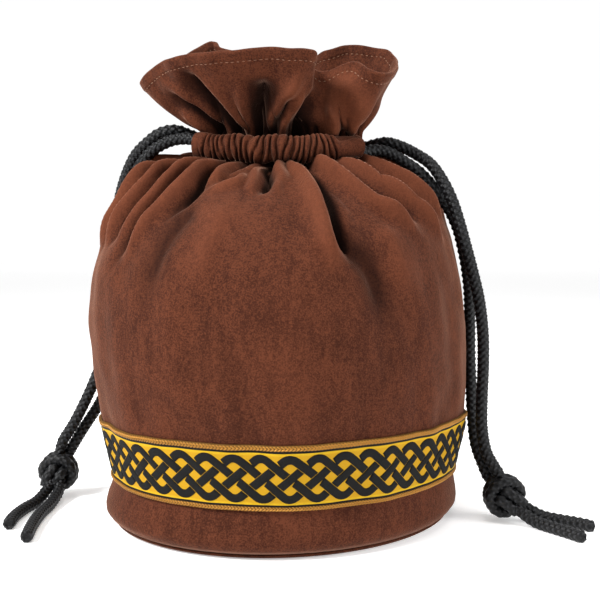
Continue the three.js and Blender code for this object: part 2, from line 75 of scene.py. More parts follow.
def colour(name, description, default):
    """A colour that a user can change."""
    return bpy.props.FloatVectorProperty(
        name=name, description=description, default=default, size=3, min=0.0, max=1.0, subtype="COLOR"
    )


class PouchSizes(bpy.types.PropertyGroup):
    """Sizes of the cloth parts."""

    neck_height: length("Neck height", "Table to the middle of the casing, on the pouch's axis", 0.182)
    belly_width: length("Belly width", "Across the fullest part of the side wall", 0.183)
    cloth_wall: length("Cloth thickness", "Suede cloth with its backing", 0.0016)
    hem_wall: length("Hem thickness", "The collar's folded and stitched hem", 0.0026)
    hem_depth: length("Hem depth", "From the collar's rim to its stitch line", 0.0055)
    neck_width: length("Neck width", "Across the drawn neck, side to side", 0.076)
    neck_depth: length("Neck depth", "Across the drawn neck, front to back", 0.040)
    collar_height: length("Collar height", "Middle of the casing to the collar's highest point", 0.0566)
    collar_width: length("Collar width", "Across the collar's rim, side to side", 0.126)
    collar_depth: length("Collar depth", "Across the collar's rim, front to back", 0.092)
    casing_wall: length("Casing thickness", "Cloth of the casing strips", 0.0012)
    casing_room: length("Casing room", "Free room between a cord and the casing", 0.0009)
    gather_depth: length("Gather depth", "Height of a gather of the neck", 0.0016)
    gather_count: bpy.props.IntProperty(
        name="Neck gathers", description="Gathers round the neck", default=37, min=8, max=80
    )
    rib_count: bpy.props.IntProperty(
        name="Casing ribs", description="Gathered ribs along each casing strip", default=25, min=8, max=60
    )
    seat: length("Seat", "Gap between pieces that touch", 0.0003)


class CordSizes(bpy.types.PropertyGroup):
    """Sizes of the braided cords."""

    diameter: length("Diameter", "Braided drawcord", 0.0052)
    relief: length("Relief", "Height of the yarns of the braid", 0.00085)
    lead: length("Lead", "Length in which a yarn turns once round the cord", 0.0160)
    carriers: bpy.props.IntProperty(
        name="Yarns", description="Yarns that wind each way round the cord", default=5, min=3, max=16
    )


class TrimSizes(bpy.types.PropertyGroup):
    """Sizes of the woven trim and of the stitches."""

    width: length("Width", "Woven trim with its two edges", 0.029)
    wall: length("Thickness", "Woven trim", 0.0009)
    foot: length("Foot", "Table to the trim's lower edge", 0.0218)
    edge: length("Edge", "Height of one metallic edge", 0.0023)
    line: length("Line", "Height of the dark line beside each edge", 0.0008)
    plait_height: length("Plait height", "Between the upper and lower turns of a plait strand's middle", 0.0176)
    strand: length("Strand", "Width of a plait strand", 0.0037)
    strand_lift: length("Strand lift", "How far a plait strand stands off the ground weave", 0.00042)
    under_gap: length("Gap", "Ground seen beside a strand that passes over", 0.00022)
    turn_radius: length("Turn radius", "Radius of a strand's middle at its turns", 0.0040)
    repeats: bpy.props.IntProperty(
        name="Repeats", description="Repeats of the plait round the pouch", default=46, min=12, max=90
    )
    edge_repeats: bpy.props.IntProperty(
        name="Edge loops", description="Loops of the metallic edge in one repeat of the plait", default=8, min=1, max=12
    )
    stitch_pitch: length("Stitch pitch", "From one hem stitch to the next", 0.0026)
    stitch_length: length("Stitch length", "Length of a hem stitch", 0.0015)
    stitch_thickness: length("Stitch thickness", "Thickness of the sewing thread", 0.00036)


class PouchColours(bpy.types.PropertyGroup):
    """Colours of the finishes."""

    suede_light: colour("Suede, brushed", "Nap that lies towards the light", (0.096, 0.0275, 0.0122))
    suede_dark: colour("Suede, dark", "Nap that lies away from the light", (0.036, 0.0092, 0.0042))
    cord: colour("Cord", "Braided drawcord", (0.0032, 0.0033, 0.0037))
    thread: colour("Hem thread", "Stitches of the hem", (0.24, 0.11, 0.055))
    gold: colour("Ground weave", "Yellow ground of the trim", (0.62, 0.375, 0.010))
    gold_deep: colour("Ground weave, deep", "Yellow ground between the plait's strands", (0.52, 0.285, 0.008))
    plait: colour("Plait weave", "Dark strands of the trim", (0.0050, 0.0048, 0.0046))
    metal: colour("Metal thread", "Edges of the trim", (0.46, 0.215, 0.036))
    floor: colour("Floor", "The studio floor", (0.90, 0.90, 0.90))


# Form of the pouch

# Sections of the side wall from the base seam to the neck. Up is a share of the neck's height, wide and deep are
# shares of half the belly's width, side is in hundredths of it, and lens and nod are 1 at the drawn neck's form.
WALL_SECTIONS = {
    "up": (0.018, 0.036, 0.06, 0.092, 0.127, 0.175, 0.231, 0.3, 0.412, 0.533, 0.654, 0.758, 0.841, 0.896, 0.926,
           0.938, 0.946),
    "wide": (0.9, 0.935, 0.934, 0.918, 0.903, 0.915, 0.936, 0.96, 0.984, 0.99, 0.965, 0.905, 0.822, 0.747, 0.69,
             0.64, 0.55),
    "deep": (0.9, 0.935, 0.94, 0.93, 0.917, 0.928, 0.942, 0.957, 0.97, 0.97, 0.935, 0.85, 0.72, 0.57, 0.46, 0.385,
             0.315),
    "side": (0.4, 0.4, 0.6, 1.2, 1.7, 1.9, 1.8, 1, 0, -1.2, -1.8, -0.8, -1.2, -3.4, -5, -5.2, -4.2),
    "lens": (0, 0, 0, 0, 0, 0, 0, 0, 0, 0, 0, 0, 0.05, 0.15, 0.3, 0.5, 0.8),
    "nod": (0, 0, 0, 0, 0, 0, 0, 0, 0, 0, 0, 0.1, 0.3, 0.6, 0.85, 1, 1),
}

# The collar's rim: at is the place on the neck in degrees, side and back are shares of half the collar's width
# and depth, and up is a share of the collar's height.
COLLAR_RIM = {
    "at": (-180, -166, -151, -136, -120, -103, -88, -76, -69, -63, -58, -53, -48, -41, -33, -25, -16, -5, 7, 20, 38,
           54, 67, 80, 94, 108, 122, 135, 147, 159, 170),
    "side": (-1.09, -1, -0.88, -0.716, -0.487, -0.195, 0.07, 0.222, 0.235, 0.2, 0.19, 0.27, 0.381, 0.532, 0.641,
             0.744, 0.84, 0.908, 0.9, 0.848, 0.563, 0.373, 0.222, 0.048, -0.127, -0.317, -0.516, -0.592, -0.721,
             -0.873, -1),
    "back": (-0.11, -0.33, -0.587, -0.783, -0.935, -1, -1.01, -0.946, -0.804, -0.587, -0.37, -0.239, -0.261, -0.435,
             -0.587, -0.609, -0.391, -0.065, 0.217, 0.391, 0.478, 0.435, 0.674, 0.5, 0.739, 0.52, 0.522, 0.652,
             0.478, 0.304, 0.109),
    "up": (0.553, 0.624, 0.668, 0.686, 0.698, 0.71, 0.712, 0.71, 0.7, 0.69, 0.665, 0.618, 0.627, 0.68, 0.604, 0.564,
           0.61, 0.7, 0.81, 0.883, 0.947, 0.882, 0.84, 0.83, 0.848, 0.866, 0.931, 1, 0.898, 0.76, 0.6),
}
COLLAR_RISE = (0, 0.2, 0.31, 0.52, 0.76, 0.88, 1)
COLLAR_ALONG = (0, 0.02, 0.14, 0.4, 0.7, 0.86, 1)

NECK_LEAN = -0.0005
NOD_PER_DEPTH = math.tan(math.radians(8))
SQUASH, SQUASH_AT, LENS_POWER = 0.05, -135, 1.33
TIP_AT, TIP_SPREAD, TIP_FLARE = -172, 30, 0.6
CASING_LEFT, CASING_RIGHT = 20, 28

# Folds of the side wall: a path of degrees and shares of the neck's height that starts under the casing, its
# half width and height in millimetres (over 0 is a ridge, under 0 a furrow), and its strength at the start.
# WALL_TALL and WALL_BROAD multiply these heights and widths, so they are proportions more than real sizes.
WALL_FOLDS = (
    (((-101, 0.96), (-92, 0.93), (-94, 0.90), (-98, 0.87)), 3.0, -3.6, 0.9),
    (((-107, 0.96), (-99, 0.93), (-100, 0.895), (-102, 0.87)), 2.8, 1.8, 0.9),
    (((-90, 0.96), (-85.5, 0.93), (-89, 0.90), (-91, 0.86)), 2.8, 1.8, 0.9),
    (((-82, 0.962), (-76, 0.93), (-77, 0.88), (-77.5, 0.834), (-76.5, 0.751), (-73.5, 0.704), (-67.5, 0.657)),
     4.6, 3.6, 0.7),
    (((-76, 0.95), (-71.5, 0.925), (-72, 0.86), (-72.5, 0.82), (-71.5, 0.755), (-68, 0.715), (-61, 0.66)),
     3.6, -5.2, 0.3),
    (((-71, 0.95), (-74, 0.914), (-74, 0.877)), 1.8, -1.6, 0.9),
    (((-63, 0.955), (-69.5, 0.932), (-73, 0.891)), 2.0, -2.0, 0.9),
    (((-62.5, 0.962), (-61.5, 0.934), (-58.5, 0.89), (-53, 0.845), (-44, 0.80), (-36, 0.74)), 4.2, 3.8, 0.9),
    (((-56, 0.955), (-55, 0.92), (-50, 0.88), (-42, 0.835), (-33, 0.78)), 3.4, -4.4, 0.9),
    (((-51, 0.958), (-47, 0.93), (-42, 0.895), (-35, 0.85), (-26, 0.79), (-20, 0.72)), 3.8, 3.4, 0.9),
    (((-40, 0.955), (-38, 0.93), (-33, 0.895), (-25, 0.85), (-17, 0.78)), 3.2, -4.0, 0.9),
    (((-30, 0.955), (-27, 0.93), (-21, 0.89), (-14, 0.84), (-8, 0.77)), 4.0, 3.2, 0.9),
    (((-12, 0.955), (-12, 0.93), (-10, 0.88), (-6, 0.78)), 4.0, -3.4, 0.8),
    (((-116.5, 0.96), (-106.5, 0.936), (-109, 0.922), (-114.5, 0.90)), 2.6, -2.6, 0.9),
    (((-112, 0.955), (-104, 0.92), (-109.5, 0.892), (-118, 0.875)), 3.4, 2.0, 0.8),
    (((-124, 0.958), (-117, 0.943), (-115.5, 0.92), (-122, 0.885)), 3.0, 2.2, 0.8),
    (((-129, 0.962), (-121, 0.94), (-120, 0.90), (-125, 0.85), (-131, 0.78)), 3.4, -3.4, 0.9),
    (((-134, 0.962), (-126, 0.94), (-126, 0.90), (-132, 0.84), (-138, 0.76), (-141, 0.68)), 3.8, 3.6, 0.9),
    (((-140, 0.962), (-131, 0.938), (-131, 0.895), (-137, 0.83), (-143, 0.74), (-147, 0.66)), 3.2, -4.2, 0.9),
    (((-146, 0.96), (-136, 0.935), (-137, 0.885), (-143, 0.81), (-149, 0.73)), 3.6, 3.4, 0.9),
    (((-152, 0.958), (-142, 0.93), (-143, 0.875), (-149, 0.80), (-155, 0.71)), 3.4, -4.4, 0.9),
    (((-158, 0.956), (-148, 0.925), (-149, 0.868), (-155, 0.79), (-160, 0.71)), 3.8, 3.4, 0.9),
    (((-165, 0.954), (-154, 0.922), (-155, 0.862), (-161, 0.78), (-166, 0.69)), 3.4, -4.4, 0.9),
    (((-172, 0.952), (-161, 0.918), (-162, 0.858), (-168, 0.77), (-172, 0.69)), 4.0, 3.2, 0.9),
    (((-178, 0.95), (-169, 0.915), (-170, 0.855), (-175, 0.77), (-179, 0.68)), 3.4, -3.8, 0.9),
    (((-69, 0.76), (-62, 0.677), (-57, 0.56)), 8.0, -2.2, 0.2),
    (((-56, 0.80), (-52, 0.72), (-50, 0.60)), 9.0, 1.6, 0.2),
    (((-118, 0.86), (-124, 0.76), (-128, 0.60)), 9.0, -1.6, 0.2),
    (((-108, 0.86), (-110, 0.76), (-112, 0.62)), 9.0, 1.4, 0.2),
    (((2, 0.955), (2, 0.92), (4, 0.86), (6, 0.76)), 4.2, 3.0, 0.8),
    (((14, 0.955), (15, 0.92), (17, 0.84), (19, 0.68)), 4.4, -4.4, 0.8),
    (((26, 0.955), (27, 0.91), (30, 0.83), (33, 0.72)), 4.4, 3.0, 0.8),
    (((38, 0.96), (40, 0.92), (42, 0.80), (46, 0.60)), 4.4, -4.6, 0.8),
    (((50, 0.96), (52, 0.91), (54, 0.84), (56, 0.76)), 4.0, 2.8, 0.8),
    (((62, 0.96), (63, 0.92), (65, 0.84), (66, 0.70)), 3.8, -3.8, 0.8),
    (((73, 0.96), (74, 0.91), (75, 0.82), (77, 0.72)), 4.0, 2.6, 0.8),
    (((84, 0.96), (85, 0.91), (84, 0.80), (83, 0.60)), 4.2, -4.4, 0.8),
    (((96, 0.96), (97, 0.91), (96, 0.84), (94, 0.74)), 3.8, 2.6, 0.8),
    (((108, 0.96), (108, 0.92), (107, 0.84), (105, 0.70)), 3.8, -3.6, 0.8),
    (((121, 0.96), (120, 0.91), (117, 0.82), (115, 0.74)), 4.2, 2.8, 0.8),
    (((133, 0.96), (132, 0.92), (129, 0.80), (127, 0.58)), 4.4, -4.6, 0.8),
    (((146, 0.955), (144, 0.91), (141, 0.84), (140, 0.74)), 4.2, 2.8, 0.8),
    (((160, 0.955), (158, 0.92), (154, 0.84), (152, 0.68)), 4.4, -4.2, 0.8),
    (((172, 0.955), (170, 0.92), (167, 0.84), (165, 0.74)), 4.2, 3.0, 0.8),
)

# Folds of the collar, written the same way with the share of the way up to the rim and scaled by COLLAR_TALL and
# COLLAR_BROAD.
COLLAR_FOLDS = (
    (((-119, 0.12), (-124, 0.30), (-129, 0.52), (-133, 0.72), (-137, 0.95)), 3.4, 2.4, 0.8),
    (((-127, 0.12), (-131, 0.30), (-134, 0.48), (-139, 0.70), (-145, 0.88)), 5.0, -4.4, 0.8),
    (((-137, 0.12), (-140, 0.28), (-146, 0.46), (-153, 0.64), (-162, 0.84)), 2.2, 2.0, 0.8),
    (((-145, 0.12), (-149, 0.30), (-156, 0.50), (-166, 0.70)), 4.2, -4.2, 0.8),
    (((-156, 0.12), (-160, 0.32), (-170, 0.50)), 3.2, 2.0, 0.7),
    (((-113, 0.12), (-111, 0.28), (-106, 0.46), (-103, 0.60), (-100, 0.74)), 5.8, -5.0, 0.8),
    (((-119, 0.14), (-118, 0.34), (-116, 0.52), (-114, 0.74)), 2.4, 1.6, 0.7),
    (((-110, 0.12), (-103, 0.28), (-91, 0.48), (-84, 0.68), (-80, 0.86)), 2.8, 2.4, 0.7),
    (((-101, 0.12), (-95, 0.30), (-88, 0.46), (-84, 0.60)), 2.8, -2.4, 0.8),
    (((-93, 0.12), (-85, 0.30), (-79, 0.48), (-76, 0.70)), 2.4, 1.8, 0.7),
    (((-75, 0.12), (-69, 0.30), (-63, 0.48), (-60, 0.68)), 4.4, -7.0, 0.9),
    (((-46, 0.18), (-43, 0.40), (-38, 0.68), (-36, 0.98)), 8.5, 2.6, 0.8),
    (((-57, 0.12), (-56, 0.22), (-55, 0.33)), 2.4, -2.6, 0.9),
    (((-50, 0.12), (-48.5, 0.30), (-46, 0.52)), 2.6, 1.6, 0.7),
    (((-41, 0.10), (-38, 0.20), (-35, 0.34)), 2.4, -2.6, 0.9),
    (((-34, 0.14), (-29, 0.46), (-30, 0.80)), 3.0, 2.0, 0.6),
    (((-22, 0.12), (-20, 0.35), (-16, 0.62)), 3.0, -1.8, 0.8),
    (((-6, 0.12), (-6, 0.35), (-4, 0.70)), 3.4, 1.0, 0.8),
    (((8, 0.12), (10, 0.35), (14, 0.66)), 3.2, -1.8, 0.8),
    (((24, 0.12), (27, 0.35), (30, 0.75)), 3.4, 2.4, 0.8),
    (((40, 0.12), (42, 0.35), (44, 0.75)), 3.0, -3.0, 0.8),
    (((58, 0.12), (60, 0.35), (60, 0.65)), 3.0, 2.2, 0.8),
    (((74, 0.12), (74, 0.35), (76, 0.70)), 3.0, -3.0, 0.8),
    (((90, 0.12), (92, 0.35), (93, 0.75)), 3.0, 2.4, 0.8),
    (((106, 0.12), (106, 0.35), (108, 0.70)), 3.0, -2.8, 0.8),
    (((122, 0.12), (120, 0.35), (118, 0.75)), 3.2, 2.4, 0.8),
    (((138, 0.12), (138, 0.35), (140, 0.66)), 3.2, -3.2, 0.8),
    (((154, 0.12), (152, 0.35), (150, 0.75)), 3.2, 2.4, 0.8),
    (((170, 0.12), (168, 0.35), (166, 0.60)), 3.2, -2.6, 0.8),
)


def smooth(low, high, x):
    """0 under low, 1 over high and a soft step between them."""
    t = np.clip((x - low) / (high - low), 0, 1)
    return t * t * (3 - 2 * t)


def half_turn(degrees):
    """The same angle between -180 and 180 degrees."""
    return (degrees + 180) % 360 - 180


def cubic(knots, values, x):
    """A cubic through values at knots, with the slopes of their neighbours."""
    knots, values, x = (np.asarray(part, float) for part in (knots, values, x))
    i = np.clip(np.searchsorted(knots, x), 1, len(knots) - 1)
    before = np.maximum(np.arange(len(knots)) - 1, 0)
    after = np.minimum(np.arange(len(knots)) + 1, len(knots) - 1)
    slope = (values[after] - values[before]) / (knots[after] - knots[before])
    span = knots[i] - knots[i - 1]
    t = (x - knots[i - 1]) / span
    return (
        values[i - 1] * (1 + 2 * t) * (1 - t) ** 2
        + values[i] * t * t * (3 - 2 * t)
        + span * (slope[i - 1] * t * (1 - t) ** 2 - slope[i] * t * t * (1 - t))
    )


def loop_value(column, degrees):
    """A column of the collar's rim at angles, once round."""
    at = np.concatenate([np.array(COLLAR_RIM["at"]) + 360 * turn for turn in (-1, 0, 1)])
    return cubic(at, np.tile(COLLAR_RIM[column], 3), half_turn(degrees))


def section_point(degrees, half_width, half_depth, lens):
    """Plan of a section: lens 0 is an ellipse and 1 the pointed form of the neck."""
    power = 1 + lens * (LENS_POWER - 1)
    angle = np.radians(degrees)
    c, s = np.cos(angle), np.sin(angle)
    diagonal = 1 + SQUASH * (1 - lens) * np.cos(2 * np.radians(degrees - SQUASH_AT))
    x = half_width * diagonal * np.sign(c) * np.abs(c) ** power
    y = half_depth * diagonal * np.sign(s) * np.abs(s) ** power
    return x, y


def turned_normals(points, closed=True):
    """Unit normals of a grid of points whose rows go up and whose columns go round."""
    around = np.roll(points, -1, 1) - np.roll(points, 1, 1)
    if not closed:
        around = np.gradient(points, axis=1)
    up = np.gradient(points, axis=0)
    normal = np.cross(around, up)
    return normal / np.maximum(np.linalg.norm(normal, axis=-1, keepdims=True), 1e-12)


def pleats(turns):
    """Rounded gathers with sharp furrows between them, one for each turn."""
    return np.abs(np.sin(np.pi * turns)) ** 0.75 - 0.6


def waves(degrees, rise, rows):
    """A sum of soft waves: rows of height in millimetres, waves round, shift, drift upwards."""
    angle = np.radians(degrees)
    total = np.zeros(np.broadcast(angle, rise).shape)
    for height, count, shift, drift in rows:
        total = total + height / 1000 * np.cos(count * angle + shift + drift * rise)
    return total


class Form:
    """The pouch's plain surfaces, and the folds that are laid on them."""

    def __init__(self, sizes):
        self.sizes = sizes
        self.radius = sizes.belly_width / 2
        height = sizes.neck_height
        self.foot = height - self.casing_height() / 2
        scale = {"up": height, "wide": self.radius, "deep": self.radius, "side": self.radius / 100}
        last = {
            "up": (self.foot - sizes.cloth_wall, height - sizes.seat),
            "wide": (sizes.neck_width / 2,) * 2,
            "deep": (sizes.neck_depth / 2,) * 2,
            "side": (NECK_LEAN,) * 2,
            "lens": (1, 1),
            "nod": (1, 1),
        }
        self.rings = {
            column: np.append(np.array(values) * scale.get(column, 1), last[column])
            for column, values in WALL_SECTIONS.items()
        }
        self.levels = len(self.rings["up"]) - 1

    def casing_height(self):
        """Height of a casing strip that holds two cords."""
        cord = bpy.context.scene.pouch_cords.diameter
        return 2 * cord + 3 * self.sizes.seat + 2 * self.sizes.casing_wall

    def casing_depth(self):
        """Thickness of a casing strip, from front to back."""
        cord = bpy.context.scene.pouch_cords.diameter
        return cord + 2 * self.sizes.casing_room + 2 * self.sizes.casing_wall

    def ring(self, column, level):
        """A ring column at levels counted in rings from the base seam."""
        return cubic(np.arange(self.levels + 1), self.rings[column], level)

    def level_at(self, height):
        """The levels that have these heights."""
        levels = np.linspace(0, self.levels, 4000)
        return np.interp(height, self.ring("up", levels), levels)

    def wall(self, degrees, level):
        """The side wall without folds."""
        lens = np.clip(self.ring("lens", level), 0, 1)
        x, y = section_point(degrees, self.ring("wide", level), self.ring("deep", level), lens)
        z = self.ring("up", level) + self.ring("nod", level) * NOD_PER_DEPTH * y
        return np.stack(np.broadcast_arrays(x + self.ring("side", level), y, z), -1)

    def collar(self, degrees, rise):
        """The collar without folds."""
        sizes = self.sizes
        along = cubic(COLLAR_RISE, COLLAR_ALONG, rise)
        neck_x, neck_y = section_point(degrees, sizes.neck_width / 2, sizes.neck_depth / 2, 1.0)
        rim_x = loop_value("side", degrees) * sizes.collar_width / 2
        rim_y = loop_value("back", degrees) * sizes.collar_depth / 2
        fuller = TIP_FLARE * np.exp(-((half_turn(degrees - TIP_AT) / TIP_SPREAD) ** 2))
        share = along + fuller * along * (1 - along)
        foot = sizes.neck_height + sizes.seat + NOD_PER_DEPTH * neck_y
        top = sizes.neck_height + loop_value("up", degrees) * sizes.collar_height
        x = neck_x + (rim_x - neck_x) * share + NECK_LEAN
        y = neck_y + (rim_y - neck_y) * share
        return np.stack(np.broadcast_arrays(x, y, foot + (top - foot) * rise), -1)

    def neck_line(self, degrees, offset):
        """Plan points at a distance outside the neck's middle line, and the outward directions there."""
        half = (self.sizes.neck_width / 2, self.sizes.neck_depth / 2)
        step = 0.5
        x, y = section_point(degrees, *half, 1.0)
        ahead = section_point(degrees + step, *half, 1.0)
        behind = section_point(degrees - step, *half, 1.0)
        along = np.stack([ahead[0] - behind[0], ahead[1] - behind[1]], -1)
        along /= np.linalg.norm(along, axis=-1, keepdims=True)
        out = np.stack([along[..., 1], -along[..., 0]], -1)
        return np.stack([x + NECK_LEAN, y], -1) + out * np.asarray(offset)[..., None], out


# How steeply a ridge and a furrow fall off beside their line, and how narrow a furrow is beside a ridge.
RIDGE_POWER, FURROW_POWER, FURROW_WIDTH = 1.5, 1.2, 0.8
# Points that a fold's path is sampled at, how many degrees to both sides of it are worked out, and the shares of
# its way where it has come to its full height and where it starts to fade.
FOLD_SAMPLES, FOLD_BESIDE, FOLD_FULL, FOLD_FADES = 28, 32, 0.3, 0.66


def fold_heights(points, degrees, rows, place, tall, broad):
    """How far folds lift a grid of surface points.

    Place maps a fold's path onto the plain surface, and tall and broad scale the heights and widths of the rows.
    """
    total = np.zeros(points.shape[:2])
    samples = np.linspace(0, 1, FOLD_SAMPLES)
    for path, width, height, start in rows:
        stops = np.linspace(0, 1, len(path))
        at = cubic(stops, [stop[0] for stop in path], samples)
        up = cubic(stops, [stop[1] for stop in path], samples)
        line = place(at, up)
        near = np.nonzero(np.abs(half_turn(degrees - at.mean())) < (at.max() - at.min()) / 2 + FOLD_BESIDE)[0]
        patch = points[:, near]
        best = np.full(patch.shape[:2], 1e9)
        along = np.zeros(patch.shape[:2])
        for i in range(len(line) - 1):
            step = line[i + 1] - line[i]
            t = np.clip(((patch - line[i]) @ step) / max(float(step @ step), 1e-12), 0, 1)
            gap = np.linalg.norm(patch - line[i] - t[..., None] * step, axis=-1)
            closer = gap < best
            best = np.where(closer, gap, best)
            along = np.where(closer, (i + t) / (len(line) - 1), along)
        power, share = (RIDGE_POWER, 1.0) if height > 0 else (FURROW_POWER, FURROW_WIDTH)
        profile = np.exp(-((best * 1000 / (width * broad * share)) ** power))
        strength = (start + (1 - start) * smooth(0, FOLD_FULL, along)) * (1 - smooth(FOLD_FADES, 1, along))
        total[:, near] += tall * height / 1000 * strength * profile
    return total


def softened(values, times):
    """A closed grid of values, blurred a little, so that slanting folds don't show its steps."""
    for _ in range(times):
        values = (np.roll(values, 1, 1) + 2 * values + np.roll(values, -1, 1)) / 4
        inner = (values[:-2] + 2 * values[1:-1] + values[2:]) / 4
        values = np.concatenate([values[:1], inner, values[-1:]])
    return values


def arc_phase(x, y):
    """The share of the way round at each column of a closed row of plan points."""
    step = np.hypot(np.roll(x, -1) - x, np.roll(y, -1) - y)
    return np.concatenate([[0], np.cumsum(step)[:-1]]) / step.sum()


def neck_phase(sizes, degrees):
    """The share of the way round the neck at each column, which the gathers are counted by."""
    return arc_phase(*section_point(degrees, sizes.neck_width / 2, sizes.neck_depth / 2, 1.0))[None, :]


# Meshes

def collection():
    """The collection that the pieces go into."""
    return bpy.context.scene.collection


def grid_faces(rows, columns, around=True, up=False, first=0):
    """Quads of a grid, closed round its rows, or its columns too."""
    r = np.arange(rows if up else rows - 1)
    c = np.arange(columns if around else columns - 1)
    r, c = np.meshgrid(r, c, indexing="ij")
    next_r, next_c = (r + 1) % rows, (c + 1) % columns
    quads = np.stack([r * columns + c, r * columns + next_c, next_r * columns + next_c, next_r * columns + c], -1)
    return quads.reshape(-1, 4) + first


def mesh_from(name, points, faces, material=None):
    """A smooth mesh of points and faces."""
    mesh = bpy.data.meshes.new(name)
    mesh.from_pydata(np.asarray(points, float).reshape(-1, 3).tolist(), [], [list(face) for face in faces])
    mesh.polygons.foreach_set("use_smooth", np.ones(len(mesh.polygons), bool))
    if material:
        mesh.materials.append(material)
    mesh.update()
    return mesh


def point_values(mesh, name, values):
    """Store one number at each point of a mesh."""
    attribute = mesh.attributes.new(name, "FLOAT", "POINT")
    attribute.data.foreach_set("value", np.asarray(values, np.float32).ravel())


def point_vectors(mesh, name, vectors):
    """Store one vector at each point of a mesh."""
    attribute = mesh.attributes.new(name, "FLOAT_VECTOR", "POINT")
    attribute.data.foreach_set("vector", np.asarray(vectors, np.float32).ravel())


def uv_from_points(mesh, values):
    """A UV map from one pair of numbers for each point."""
    corners = np.empty(len(mesh.loops), np.int32)
    mesh.loops.foreach_get("vertex_index", corners)
    layer = mesh.uv_layers.new(name="UVMap")
    layer.data.foreach_set("uv", np.asarray(values, np.float32).reshape(-1, 2)[corners].ravel())


def piece_from(name, mesh):
    """An object at the origin that holds a mesh."""
    piece = bpy.data.objects.new(name, mesh)
    collection().objects.link(piece)
    return piece


def wire_mesh(name, paths):
    """A mesh of open polylines."""
    points, edges = [], []
    for path in paths:
        first = len(points)
        points.extend([list(point) for point in path])
        edges.extend((first + i, first + i + 1) for i in range(len(path) - 1))
    mesh = bpy.data.meshes.new(name)
    mesh.from_pydata(points, edges, [])
    return mesh


def grown(name, mesh, tree, **inputs):
    """Run a Geometry Nodes tree on a mesh, and keep what it makes as a plain mesh in an object."""
    source = bpy.data.objects.new(name + "_source", mesh)
    collection().objects.link(source)
    modifier = source.modifiers.new("Nodes", "NODES")
    modifier.node_group = tree
    for item in tree.interface.items_tree:
        if item.item_type == "SOCKET" and item.in_out == "INPUT" and item.name in inputs:
            modifier[item.identifier] = inputs[item.name]
    graph = bpy.context.evaluated_depsgraph_get()
    made = bpy.data.meshes.new_from_object(source.evaluated_get(graph), depsgraph=graph)
    bpy.data.objects.remove(source)
    made.name = name
    return piece_from(name, made)


# Node trees

def add(tree, kind, inputs=None, **settings):
    """Add a node, with a constant or another node's socket for each input that is given."""
    node = tree.nodes.new(kind)
    for name, value in settings.items():
        setattr(node, name, value)
    for key, value in (inputs or {}).items():
        put(tree, node.inputs[key], value)
    return node


def put(tree, socket, value):
    """Give a socket a constant or another node's socket."""
    value = value.socket if isinstance(value, Number) else value
    if isinstance(value, bpy.types.NodeSocket):
        tree.links.new(value, socket)
    else:
        socket.default_value = value


class Number:
    """A number socket that ordinary arithmetic works on."""

    def __init__(self, tree, socket):
        self.tree = tree
        self.socket = socket

    def math(self, operation, *values):
        """The result of one Math node."""
        node = self.tree.nodes.new("ShaderNodeMath")
        node.operation = operation
        for socket, value in zip(node.inputs, values):
            put(self.tree, socket, value)
        return Number(self.tree, node.outputs[0])

    def __add__(self, other):
        return self.math("ADD", self, other)

    def __sub__(self, other):
        return self.math("SUBTRACT", self, other)

    def __rsub__(self, other):
        return self.math("SUBTRACT", other, self)

    def __mul__(self, other):
        return self.math("MULTIPLY", self, other)

    def __truediv__(self, other):
        return self.math("DIVIDE", self, other)

    __radd__ = __add__
    __rmul__ = __mul__

    def sin(self):
        return self.math("SINE", self)

    def floor(self):
        return self.math("FLOOR", self)

    def fract(self):
        return self.math("FRACT", self)

    def power(self, exponent):
        return self.math("POWER", self, exponent)

    def larger(self, other):
        return self.math("MAXIMUM", self, other)

    def smaller(self, other):
        return self.math("MINIMUM", self, other)

    def step(self, low, high):
        """0 under low, 1 over high and a soft step between them."""
        node = add(self.tree, "ShaderNodeMapRange", {"Value": self.socket}, interpolation_type="SMOOTHSTEP")
        put(self.tree, node.inputs["From Min"], low)
        put(self.tree, node.inputs["From Max"], high)
        return Number(self.tree, node.outputs["Result"])


def new_tree(name, kind, inputs, outputs):
    """A node tree with named sockets: rows of name, kind and default."""
    tree = bpy.data.node_groups.new(name, kind)
    for in_out, rows in (("INPUT", inputs), ("OUTPUT", outputs)):
        for row in rows:
            socket = tree.interface.new_socket(row[0], in_out=in_out, socket_type="NodeSocket" + row[1])
            if len(row) > 2:
                socket.default_value = row[2]
    return tree, tree.nodes.new("NodeGroupInput"), tree.nodes.new("NodeGroupOutput")


def weave_height(across, along):
    """Height from 0 to 1 of two families of yarns that pass over and under each other."""
    pi = math.pi
    bump_a = (across.fract() * pi).sin()
    bump_b = (along.fract() * pi).sin()
    over_a = (along * pi + across.floor() * pi).sin()
    over_b = 0 - (across * pi + along.floor() * pi).sin()
    return (bump_a * (over_a * 0.5 + 0.5)).larger(bump_b * (over_b * 0.5 + 0.5))


